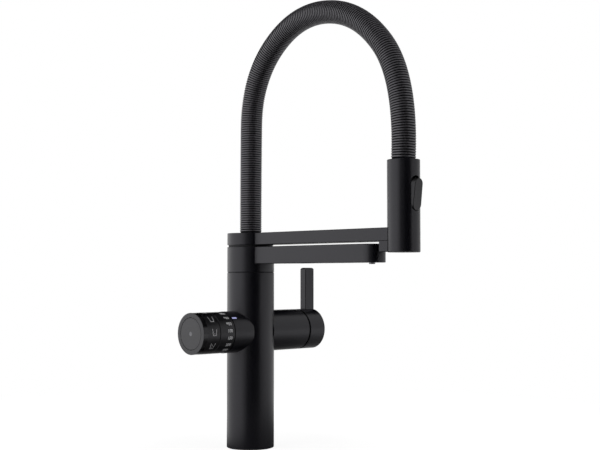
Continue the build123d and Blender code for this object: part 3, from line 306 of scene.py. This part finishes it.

# %% Painted edge highlights
edge_highlight, edge_highlight_in, edge_highlight_out = new_group(
    "painted_edge_highlights", (("Width", 0.0005), ("Strength", 2.5)), (("Edges", "NodeSocketFloat"),)
)
# The mask is 1 on rounded edges, where finishes lighten their colour as a painted highlight.
bevel = add(edge_highlight, "ShaderNodeBevel", samples=6)
geometry = add(edge_highlight, "ShaderNodeNewGeometry")
facing = add(edge_highlight, "ShaderNodeVectorMath", operation="DOT_PRODUCT")
away = add(edge_highlight, "ShaderNodeMath", operation="SUBTRACT")
away.inputs[0].default_value = 1.0
stronger = add(edge_highlight, "ShaderNodeMath", operation="MULTIPLY", use_clamp=True)
edge_highlight.links.new(edge_highlight_in.outputs["Width"], bevel.inputs["Radius"])
edge_highlight.links.new(bevel.outputs["Normal"], facing.inputs[0])
edge_highlight.links.new(geometry.outputs["Normal"], facing.inputs[1])
edge_highlight.links.new(facing.outputs["Value"], away.inputs[1])
edge_highlight.links.new(away.outputs["Value"], stronger.inputs[0])
edge_highlight.links.new(edge_highlight_in.outputs["Strength"], stronger.inputs[1])
edge_highlight.links.new(stronger.outputs["Value"], edge_highlight_out.inputs["Edges"])
print("group", edge_highlight.name)

# %% [markdown]
# ## Finishes
# A coated or moulded surface needs the same few parts: a base colour that lightens a little at
# its edges as a painted highlight, a roughness that wanders with the patches, and a very shallow
# bump from the grain. Black coats shine slightly blue. One function builds such a finish from its
# colour, its painted edge highlight colour, its lowest and highest roughness and the size of its grain.


# %% Helpers for finishes
COOL_SHEEN = (0.95, 0.94, 1.0, 1.0)


def new_material(name):
    """A material, its node tree and its shader."""
    material = bpy.data.materials.new(name)
    material.use_nodes = True
    return material, material.node_tree, material.node_tree.nodes["Principled BSDF"]


def place_group(tree, group, **values):
    """Places a shared effect in a material, with its own values."""
    return put(add(tree, "ShaderNodeGroup", node_tree=group), **values)


def blend_colours(tree, mask, first, second):
    """A colour that goes from the first to the second where the mask is 1."""
    mix = add(tree, "ShaderNodeMix", data_type="RGBA")
    mix.inputs["A"].default_value = (*first, 1)
    mix.inputs["B"].default_value = (*second, 1)
    tree.links.new(mask, mix.inputs["Factor"])
    return mix.outputs["Result"]


def add_bump(tree, shader, grain_size, bump_mm):
    """A shallow bump that follows the fine grain."""
    fine = place_group(tree, grain, Size=grain_size).outputs["Grain"]
    bump = put(add(tree, "ShaderNodeBump"), Distance=bump_mm / 1000, Strength=1.0)
    tree.links.new(fine, bump.inputs["Height"])
    tree.links.new(bump.outputs["Normal"], shader.inputs["Normal"])


def finish(name, colour, highlight_colour, rough, metal=0.0, grain_size=900.0, bump_mm=0.004):
    """A coated, moulded or machined finish with grain, patches and a painted highlight on its edges."""
    material, tree, shader = new_material(name)
    put(shader, Metallic=metal, Specular_Tint=COOL_SHEEN)
    # The second colour is a painted highlight, laid in where the mask finds an edge.
    highlight_mask = place_group(tree, edge_highlight).outputs["Edges"]
    tree.links.new(blend_colours(tree, highlight_mask, colour, highlight_colour), shader.inputs["Base Color"])
    soft = place_group(tree, patches).outputs["Patches"]
    tree.links.new(ramp(tree, soft, *rough), shader.inputs["Roughness"])
    add_bump(tree, shader, grain_size, bump_mm)
    return material


print("finish helpers ready")

# %% [markdown]
# ## Matt black lacquer
# The column, the arms, the head and the mixer are brass and steel under a baked matt black
# coat. It is nearly black, with a wide soft sheen and a grain that only shows up close.

# %% Coats and plastics
# The second colour of every finish is its painted edge highlight.
LACQUER_ROUGH = (0.29, 0.34)
DIAL_COLOUR, DIAL_HIGHLIGHT = (0.008, 0.0078, 0.009), (0.03, 0.03, 0.032)

lacquer = finish("matt_black_lacquer", (0.0055, 0.0052, 0.0085), (0.03, 0.03, 0.034), LACQUER_ROUGH)
dial_coat = finish("dial_coat", DIAL_COLOUR, DIAL_HIGHLIGHT, LACQUER_ROUGH)
button_face = finish("button_face", (0.062, 0.062, 0.064), (0.06, 0.06, 0.06), (0.33, 0.38))
plastic = finish(
    "black_plastic", (0.006, 0.006, 0.006), (0.02, 0.02, 0.02), (0.36, 0.42), grain_size=1400.0
)
groove = finish("groove_black", (0.004, 0.004, 0.004), (0.008, 0.008, 0.008), (0.6, 0.7))
rubber = finish("soft_rubber", (0.02, 0.02, 0.02), (0.035, 0.035, 0.035), (0.62, 0.75), grain_size=1800.0)
board_green = finish("board_green", (0.01, 0.09, 0.04), (0.02, 0.14, 0.07), (0.35, 0.5))
coats = (lacquer, dial_coat, button_face, plastic, groove, rubber, board_green)
print("coats:", [coat.name for coat in coats])

# %% [markdown]
# ## Bare metals and ceramic
# The pieces inside are turned brass and stainless steel, with a coarser grain than the coats.
# The nub under the spout is dull grey metal. The two valve discs are ground white ceramic.

# %% Metals and ceramic
# Here too the second colour is a painted highlight on the edges.
brass = finish(
    "turned_brass", (0.62, 0.43, 0.2), (0.75, 0.56, 0.3), (0.25, 0.4), metal=1.0, grain_size=600.0
)
steel = finish(
    "machined_steel", (0.5, 0.5, 0.51), (0.66, 0.66, 0.66), (0.22, 0.36), metal=1.0, grain_size=700.0
)
ceramic = finish("ground_ceramic", (0.8, 0.79, 0.76), (0.86, 0.85, 0.83), (0.12, 0.2), bump_mm=0.001)
nozzle_grey = finish("nozzle_grey", (0.22, 0.22, 0.23), (0.3, 0.3, 0.31), (0.35, 0.45), metal=1.0)
print("metals:", brass.name, steel.name, nozzle_grey.name, ceramic.name)

# %% [markdown]
# ## Lights on the dial
# A dash on the sleeve shows which mark is set, and a dot marks the button. Both are small clear
# windows over a light, so they glow evenly and hardly reflect.

# %% Light windows
WINDOW_COLOUR, WINDOW_ROUGH, WINDOW_GRAIN = (0.2, 0.2, 0.22, 1), 0.25, 2500.0
DIMMEST = 0.8


def light_window(name, colour, strength):
    """A clear window that glows, with a fine grain in its glow."""
    material, tree, shader = new_material(name)
    put(shader, Base_Color=WINDOW_COLOUR, Roughness=WINDOW_ROUGH, Emission_Strength=strength)
    fine = place_group(tree, grain, Size=WINDOW_GRAIN).outputs["Grain"]
    dimmer = tuple(DIMMEST * part for part in colour)
    tree.links.new(blend_colours(tree, fine, dimmer, colour), shader.inputs["Emission Color"])
    return material


dash_light = light_window("dash_light", (0.5, 0.52, 0.95), strength=0.75)
dot_light = light_window("dot_light", (0.5, 0.5, 0.53), strength=0.06)
print("lights:", dash_light.name, dot_light.name)

# %% [markdown]
# ## The first ring's three bands
# The ring that picks the water has a polished, slightly darker band behind its end face, and the
# end face itself is lighter and a little rougher. One ring has all three looks, so its material asks
# how far along the dial a point lies and changes its colour and roughness there. Each look in the
# list starts at its place along the dial and covers the one before it.

# %% First ring's finish
BAND_X, FACE_X = -0.0760, -0.0811
RING_LOOKS = (
    (BAND_X, (0.005, 0.005, 0.0055, 1), 0.14),
    (FACE_X, (0.045, 0.045, 0.047, 1), 0.35),
)

ring_finish = finish("ring_finish", DIAL_COLOUR, DIAL_HIGHLIGHT, LACQUER_ROUGH)
tree = ring_finish.node_tree
shader = tree.nodes["Principled BSDF"]
coordinates = add(tree, "ShaderNodeTexCoord")
along_dial = add(tree, "ShaderNodeSeparateXYZ")
tree.links.new(coordinates.outputs["Object"], along_dial.inputs["Vector"])


def past(x):
    """A mask that is 1 on the part of the ring further left than x."""
    mask = add(tree, "ShaderNodeMath", operation="LESS_THAN")
    mask.inputs[1].default_value = x
    tree.links.new(along_dial.outputs["X"], mask.inputs[0])
    return mask.outputs["Value"]


def lay_over(socket, mask, kind, value):
    """Replaces what feeds a socket by a value where the mask is 1."""
    mix = add(tree, "ShaderNodeMix", data_type=kind)
    mix.inputs["B"].default_value = value
    tree.links.new(mask, mix.inputs["Factor"])
    tree.links.new(shader.inputs[socket].links[0].from_socket, mix.inputs["A"])
    tree.links.new(mix.outputs["Result"], shader.inputs[socket])


for start_x, colour, roughness in RING_LOOKS:
    mask = past(start_x)
    lay_over("Base Color", mask, "RGBA", colour)
    lay_over("Roughness", mask, "FLOAT", roughness)
print("bands from x", BAND_X, "and", FACE_X)

# %% [markdown]
# ## The hose's rubber
# The ribs' crests are a touch smoother, and lighter as a painted highlight, while the grooves
# are dull and dark as painted shade between the ribs. The material reads the height that each
# point kept. A metal reflects in its own colour only, and a black one hardly at all, so the metal
# value takes the shine out of the grooves, which paints shade there too.

# %% Hose material
# The crests' lighter colour is a painted highlight and the grooves' dark colour is painted shade.
GROOVE_SHADE_COLOUR, CREST_HIGHLIGHT_COLOUR = (0.004, 0.004, 0.004), (0.075, 0.071, 0.08)
GROOVE_ROUGH, CREST_ROUGH = 0.7, 0.34

hose_rubber, tree, shader = new_material("hose_rubber")
crest = add(tree, "ShaderNodeAttribute", attribute_name="crest").outputs["Fac"]
rib_highlight_and_shade = blend_colours(tree, crest, GROOVE_SHADE_COLOUR, CREST_HIGHLIGHT_COLOUR)
tree.links.new(rib_highlight_and_shade, shader.inputs["Base Color"])
tree.links.new(ramp(tree, crest, GROOVE_ROUGH, CREST_ROUGH), shader.inputs["Roughness"])
# Painted shade: metal value 1 with a black colour takes the shine out of the grooves.
tree.links.new(ramp(tree, crest, 1.0, 0.0), shader.inputs["Metallic"])
put(shader, Specular_IOR_Level=1.0, Specular_Tint=COOL_SHEEN)
add_bump(tree, shader, grain_size=1500.0, bump_mm=0.01)
for piece, material in ((hose_cover, hose_rubber), (pressure_hose, rubber)):
    piece.data.materials.append(material)
print("hose finished")

# %% [markdown]
# ## Printed marks on the dial
# The first ring shows glasses for still, lightly sparkling and sparkling water, and the second
# one numbers for the portion in millilitres. They are printed in white, a few hundredths of a
# millimetre thick. Each mark is drawn flat, cut into level bands so that it can bend, turned to
# its place round the dial, and then laid on the ring by a Shrinkwrap modifier.

# %% Helpers for the marks
DIAL_Z, DIAL_R = 0.1221, 0.0213
MARK_GAP, MARK_LIFT, MARK_THICK = 0.0004, 0.00005, 0.00003
MARK_BANDS = 8
INK = (0.9, 0.9, 0.92)

mark_white = finish("mark_white", INK, INK, (0.5, 0.6), grain_size=2000.0, bump_mm=0.001)


def cut_bands(mark, height):
    """Cuts a flat mark into level bands."""
    only(mark)
    bpy.ops.object.mode_set(mode="EDIT")
    for i in range(1, MARK_BANDS):
        bpy.ops.mesh.select_all(action="SELECT")
        level = height * (i / MARK_BANDS - 0.5)
        bpy.ops.mesh.bisect(plane_co=(0, level, 0), plane_no=(0, 1, 0))
    bpy.ops.object.mode_set(mode="OBJECT")


def stand_at(mark, x, degrees):
    """Turns a flat mark to its place round the dial; 0 faces the user and 90 is on top."""
    angle = math.radians(degrees)
    away = DIAL_R + MARK_GAP
    only(mark)
    mark.rotation_euler = (math.pi / 2 - angle, 0, 0)
    mark.location = (x, -math.cos(angle) * away, DIAL_Z + math.sin(angle) * away)
    bpy.ops.object.transform_apply(location=True, rotation=True, scale=True)


def print_on(marks, name, ring, body):
    """Joins marks into one print and lays it on a ring."""
    bpy.ops.object.select_all(action="DESELECT")
    for mark in marks:
        mark.select_set(True)
    bpy.context.view_layer.objects.active = marks[0]
    bpy.ops.object.join()
    made = bpy.context.object
    bpy.ops.object.transform_apply(location=True, rotation=True, scale=True)
    made.name = name
    wrap = made.modifiers.new("on_ring", "SHRINKWRAP")
    wrap.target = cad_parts[ring]
    wrap.wrap_method = "NEAREST_SURFACEPOINT"
    wrap.wrap_mode = "ABOVE_SURFACE"
    wrap.offset = MARK_LIFT
    thick = made.modifiers.new("thickness", "SOLIDIFY")
    thick.thickness = MARK_THICK
    thick.offset = 1
    for modifier in ("on_ring", "thickness"):
        bpy.ops.object.modifier_apply(modifier=modifier)
    recalculate(made)
    made.data.materials.clear()
    made.data.materials.append(mark_white)
    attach(made, body)
    return made


print("mark helpers ready")

# %% Numbers on the second ring
NUMBER_X, NUMBER_COUNT, NUMBER_STEP, FIRST_NUMBER = -0.0466, 18, 50, 100
NUMBER_SIZE, NUMBER_HEIGHT, NUMBER_BOLD = 0.0044, 0.0034, 0.00026
NUMBER_TURN, NUMBER_STEPS = 6.5, 3

numbers = []
for i in range(NUMBER_COUNT):
    bpy.ops.object.select_all(action="DESELECT")
    bpy.ops.object.text_add()
    number = bpy.context.object
    number.data.body = str(FIRST_NUMBER + NUMBER_STEP * i)
    number.data.size = NUMBER_SIZE
    number.data.align_x = "CENTER"
    number.data.align_y = "CENTER"
    number.data.resolution_u = NUMBER_STEPS
    number.data.offset = NUMBER_BOLD
    only(number)
    bpy.ops.object.convert(target="MESH")
    number = bpy.context.object
    cut_bands(number, NUMBER_HEIGHT)
    stand_at(number, NUMBER_X, NUMBER_TURN - 360 * i / NUMBER_COUNT)
    numbers.append(number)
portion_numbers = print_on(numbers, "portion_numbers", "portion_ring", "portion_ring")
print("numbers:", NUMBER_COUNT, "in", len(portion_numbers.data.polygons), "faces")

# %% [markdown]
# ## Glasses on the first ring
# A glass is a plane that narrows to its foot. Its outline is an inset with the middle and the top
# taken away. Small round bubbles inside tell the sparkling kinds from the still one.

# %% Draw the glasses
ICON_X, ICON_COUNT, ICON_TURN = -0.0673, 9, 45
ICON_WIDE, ICON_TALL, ICON_LINE, ICON_FOOT = 0.0062, 0.0076, 0.00075, 0.74
BUBBLE_R, BUBBLE_SIDES = 0.00055, 8
BUBBLES = ((), ((0.0, -0.0016),), ((-0.0008, -0.0018), (0.0009, -0.0002), (-0.0006, 0.0014)))


def choose(mesh_object, test):
    """Selects the faces whose middle passes a test, in edit mode."""
    bpy.ops.mesh.select_all(action="DESELECT")
    bpy.ops.object.mode_set(mode="OBJECT")
    for face in mesh_object.data.polygons:
        face.select = test(face.center)
    bpy.ops.object.mode_set(mode="EDIT")


def draw_glass(bubbles):
    """A flat outline of a glass, open at the top, with bubbles at the places given."""
    bpy.ops.object.select_all(action="DESELECT")
    bpy.ops.mesh.primitive_plane_add(size=1)
    glass = bpy.context.object
    glass.scale = (ICON_WIDE, ICON_TALL, 1)
    bpy.ops.object.transform_apply(location=False, rotation=False, scale=True)
    bpy.ops.object.mode_set(mode="EDIT")
    bpy.ops.mesh.select_mode(type="FACE")
    bpy.ops.mesh.select_all(action="SELECT")
    bpy.ops.mesh.inset(thickness=ICON_LINE)
    choose(glass, lambda middle: abs(middle.x) < ICON_LINE and middle.y > -ICON_TALL / 2 + ICON_LINE)
    bpy.ops.mesh.delete(type="FACE")
    bpy.ops.mesh.select_mode(type="VERT")
    bpy.ops.mesh.select_all(action="DESELECT")
    bpy.ops.object.mode_set(mode="OBJECT")
    for corner in glass.data.vertices:
        corner.select = corner.co.y < 0
    bpy.ops.object.mode_set(mode="EDIT")
    bpy.ops.transform.resize(value=(ICON_FOOT, 1, 1), center_override=(0, 0, 0))
    for x, y in bubbles:
        bpy.ops.mesh.primitive_circle_add(
            vertices=BUBBLE_SIDES, radius=BUBBLE_R, fill_type="NGON", location=(x, y, 0)
        )
    bpy.ops.object.mode_set(mode="OBJECT")
    cut_bands(glass, ICON_TALL)
    return glass


glasses = []
for i in range(ICON_COUNT):
    glass = draw_glass(BUBBLES[i % len(BUBBLES)])
    stand_at(glass, ICON_X, ICON_TURN - 360 * i / ICON_COUNT)
    glasses.append(glass)
water_glasses = print_on(glasses, "water_glasses", "select_ring", "select_ring")
print("glasses:", ICON_COUNT, "in", len(water_glasses.data.polygons), "faces")

# %% [markdown]
# ## The ring that pushes the button back
# Behind the button sits a soft rubber ring. It has a thin wall that bellies out, so that it
# folds when the button is pressed. It is turned from a profile: a circle is pulled along the
# dial step by step and made wider or narrower at each, and the last step meets the first.

# %% Turn the return ring
RETURN_R, RETURN_WALL, BELLY, PRESS = 0.0070, 0.0010, 0.0004, 0.001
RETURN_STEPS, RETURN_SIDES = 4, 48
SAME_POINT = 0.00002

ring_low, ring_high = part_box("button_return_ring")
ring_long = ring_high[0] - ring_low[0]
shares = [step / RETURN_STEPS for step in range(RETURN_STEPS + 1)]
profile = []
for wall_r, wall_shares in ((RETURN_R, shares), (RETURN_R - RETURN_WALL, shares[::-1])):
    for share in wall_shares:
        swell = BELLY * math.sin(math.pi * share)
        profile.append((ring_low[0] + ring_long * share, wall_r - BELLY + swell))

bpy.ops.object.select_all(action="DESELECT")
x, radius = profile[0]
bpy.ops.mesh.primitive_circle_add(
    vertices=RETURN_SIDES, radius=radius, location=(x, 0, DIAL_Z), rotation=(0, math.pi / 2, 0)
)
return_ring = bpy.context.object
return_ring.name = "return_ring"
bpy.ops.object.transform_apply(location=True, rotation=True, scale=True)
bpy.ops.object.mode_set(mode="EDIT")
bpy.ops.mesh.select_mode(type="VERT")
bpy.ops.mesh.select_all(action="SELECT")
for next_x, next_radius in profile[1:] + profile[:1]:
    bpy.ops.mesh.extrude_region_move(TRANSFORM_OT_translate={"value": (next_x - x, 0, 0)})
    share = next_radius / radius
    bpy.ops.transform.resize(value=(1, share, share), center_override=(next_x, 0, DIAL_Z))
    x, radius = next_x, next_radius
bpy.ops.mesh.select_all(action="SELECT")
bpy.ops.mesh.remove_doubles(threshold=SAME_POINT)
bpy.ops.object.mode_set(mode="OBJECT")
recalculate(return_ring)
bpy.ops.object.shade_smooth_by_angle(angle=SMOOTH_ANGLE)
return_ring.data.materials.append(rubber)
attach(return_ring, "column")
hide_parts("button_return_ring")
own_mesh(return_ring)
print("return ring", round(ring_long * 1000, 2), "mm long,", len(return_ring.data.polygons), "faces")

# %% [markdown]
# ## Which piece gets which finish
# Each CAD piece keeps its shape and takes one finish. What is coated outside is one list, and the
# rest goes by what the piece is made of. Only the solids of the two hoses and of the return ring
# are left without one, because modelled pieces replace them.

# %% Hand out the finishes
FINISHES = {
    lacquer: "column_tube lower_arm upper_arm dock_block hose_socket hose_nipple head_shell "
    "dial_sleeve mixer_body lever_cap lever_bar",
    dial_coat: "portion_ring",
    ring_finish: "select_ring",
    button_face: "touch_button",
    plastic: "rocker_button head_core spray_face cartridge_base cartridge_housing dial_keeper "
    "nozzle_block diverter_spool",
    nozzle_grey: "spout_aerator",
    groove: "lower_glide_washer hub_spacer_ring dial_washers cap_glide_ring",
    rubber: "base_gasket spindle_seals mixer_seals spray_nozzles",
    brass: "threaded_shank foot_plate inlet_block valve_manifold swivel_spindle cartridge_nut",
    steel: "column_screws dial_screws keeper_screws mixer_screws dock_screws lever_grub_screw "
    "supply_risers spout_risers spout_tube spindle_circlip rocker_pin dial_spindle button_clip "
    "cartridge_stem dock_magnet",
    ceramic: "fixed_ceramic_disc moving_ceramic_disc",
    board_green: "sensor_board",
    dash_light: "led_window",
    dot_light: "button_light",
}
for material, names in FINISHES.items():
    for name in names.split():
        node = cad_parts[name]
        node.data.materials.clear()
        node.data.materials.append(material)
left = set(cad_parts) - {name for names in FINISHES.values() for name in names.split()}
print("pieces without a finish:", sorted(left))

# %% [markdown]
# ## Floor and background
# The tap stands on a plain pale deck before a white wall. The camera sees both as white, which
# comes from their own colour and not from more light.

# %% White seen by camera, gloss and glass
def join_values(tree, operation, first, second):
    """The result of a math operation on two values."""
    node = add(tree, "ShaderNodeMath", operation=operation)
    tree.links.new(first, node.inputs[0])
    tree.links.new(second, node.inputs[1])
    return node.outputs["Value"]


def white_rays(tree, gloss_share=None):
    """1 for camera rays; for the rays of gloss and glass also 1, or a share if one is given."""
    rays = add(tree, "ShaderNodeLightPath").outputs
    mirrored = join_values(tree, "MAXIMUM", rays["Is Glossy Ray"], rays["Is Transmission Ray"])
    if gloss_share:
        mirrored = join_values(tree, "MULTIPLY", mirrored, gloss_share)
    return join_values(tree, "MAXIMUM", rays["Is Camera Ray"], mirrored)


print("ray helpers ready")

# %% [markdown]
# ## The deck
# Three of the deck's values change with the distance from the column. Only the middle of the deck
# catches light, and its own white is a little weaker there, so that the tap's soft shadow shows.
# What gloss sees of the deck is dark near the column, a painted shadow that stands in for the
# tap's own shadow there and keeps the undersides of the dial and the mixer dark. The left is left
# out of that, because the column's light band goes down to its foot there.

# %% Deck
DECK_R, DECK_SIDES = 9, 96

bpy.ops.object.select_all(action="DESELECT")
bpy.ops.mesh.primitive_circle_add(vertices=DECK_SIDES, radius=DECK_R, fill_type="NGON")
deck = bpy.context.object
deck.name = "deck"
deck_finish, tree, shader = new_material("pale_deck")
deck.data.materials.append(deck_finish)
put(shader, Roughness=0.9, Specular_IOR_Level=0.0, Emission_Color=(1, 1, 1, 1))
place = add(tree, "ShaderNodeTexCoord").outputs["Object"]
length = add(tree, "ShaderNodeVectorMath", operation="LENGTH")
tree.links.new(place, length.inputs[0])
distance = length.outputs["Value"]
to_left = add(tree, "ShaderNodeVectorMath", operation="DOT_PRODUCT")
to_left.inputs[1].default_value = (-CAMERA_AIM.y, CAMERA_AIM.x, 0)
tree.links.new(place, to_left.inputs[0])

lit_grey = ramp(tree, distance, low=0.3, high=0.0, start=0.25, end=0.6)
own_white = ramp(tree, distance, low=0.89, high=1.0, start=0.1, end=0.3)
# Painted shadow: gloss sees the deck dark close to the column, where the tap's shadow falls.
far_gloss = ramp(tree, distance, low=0.0, high=0.8, start=0.16, end=0.45)
left_gloss = ramp(tree, to_left.outputs["Value"], low=0.0, high=0.9, start=0.03, end=0.1)
gloss_share = join_values(tree, "MAXIMUM", far_gloss, left_gloss)
seen_white = join_values(tree, "MULTIPLY", own_white, white_rays(tree, gloss_share))
tree.links.new(lit_grey, shader.inputs["Base Color"])
tree.links.new(seen_white, shader.inputs["Emission Strength"])
print("deck radius", DECK_R, "m")

# %% White wall all round
AMBIENT = 0.78

world = bpy.data.worlds.new("studio")
bpy.context.scene.world = world
world.use_nodes = True
tree = world.node_tree
background = tree.nodes["Background"]
background.inputs["Color"].default_value = (1, 1, 1, 1)
tree.links.new(ramp(tree, white_rays(tree), AMBIENT, 1.0), background.inputs["Strength"])
print("world ready, ambient light", AMBIENT)

# %% [markdown]
# ## Soft light from both sides
# Black lacquer shows what it reflects. Two wide soft panels, one at each side, draw long light
# bands down the column. Five cards that the camera doesn't see darken what lies between them,
# which is how a black tap is made to look round. The one beside the camera leaves the column's
# front dark, and a grey one next to it softens that band's left edge. The others darken the
# tops, the right-hand edges and the undersides.

# %% Directions round the tap
TAP_MIDDLE = Vector((0, -0.1, 0.22))


def way_to(bearing, rise):
    """A direction from the tap, in degrees to the right of the camera and upwards."""
    back = -Vector((CAMERA_AIM.x, CAMERA_AIM.y)).normalized()
    angle, up = math.radians(bearing), math.radians(rise)
    return Vector((
        (back.x * math.cos(angle) - back.y * math.sin(angle)) * math.cos(up),
        (back.x * math.sin(angle) + back.y * math.cos(angle)) * math.cos(up),
        math.sin(up),
    ))


print("camera side:", way_to(0, 0))


# %% Soft panels
PANEL_DISTANCE, PANEL_TALL = 1.15, 1.7


def soft_panel(name, bearing, rise, width, radiance):
    """A soft panel that faces the tap."""
    light = bpy.data.lights.new(name, "AREA")
    light.shape = "RECTANGLE"
    light.size, light.size_y = width, PANEL_TALL
    light.energy = radiance * math.pi * width * PANEL_TALL
    panel = bpy.data.objects.new(name, light)
    bpy.context.scene.collection.objects.link(panel)
    panel.location = TAP_MIDDLE + way_to(bearing, rise) * PANEL_DISTANCE
    panel.rotation_euler = (TAP_MIDDLE - panel.location).to_track_quat("-Z", "Y").to_euler()
    panel.visible_camera = False


soft_panel("left_panel", bearing=-92, rise=10, width=2.4, radiance=0.4)
soft_panel("right_panel", bearing=92, rise=18, width=2.1, radiance=0.66)
print("two panels")

# %% Cards
DECK_CARD_Z = 0.002


def card(name, grey, bearing, rise, distance, width, tall):
    """A plain card that faces the tap and that the camera doesn't see."""
    bpy.ops.object.select_all(action="DESELECT")
    place = TAP_MIDDLE + way_to(bearing, rise) * distance
    facing = (TAP_MIDDLE - place).to_track_quat("-Z", "Y").to_euler()
    bpy.ops.mesh.primitive_plane_add(size=1, location=place, rotation=facing)
    made = bpy.context.object
    made.scale = (width, tall, 1)
    made.name = name
    made.visible_camera = False
    paper, _, shader = new_material(name + "_paper")
    put(shader, Base_Color=(grey, grey, grey, 1), Roughness=1.0, Specular_IOR_Level=0.0)
    made.data.materials.append(paper)
    return made


card("front_card", grey=0.05, bearing=27, rise=8, distance=1.7, width=1.6, tall=3.4)
card("half_card", grey=0.8, bearing=-12, rise=8, distance=1.8, width=1.2, tall=3.4)
card("top_card", grey=0.01, bearing=175, rise=58, distance=1.6, width=5.5, tall=3.2)
card("right_card", grey=0.01, bearing=98, rise=4, distance=1.9, width=3.4, tall=3.0)
deck_card = card("deck_card", grey=0.02, bearing=21, rise=0, distance=1.0, width=1.3, tall=1.5)
deck_card.location.z = DECK_CARD_Z
deck_card.rotation_euler = (0, 0, math.atan2(-CAMERA_AIM.x, CAMERA_AIM.y))
print("five cards")

# %% [markdown]
# ## Colours as rendered
# The colours are shown through the standard view transform.

# %% Standard view transform
bpy.context.scene.view_settings.view_transform = "Standard"
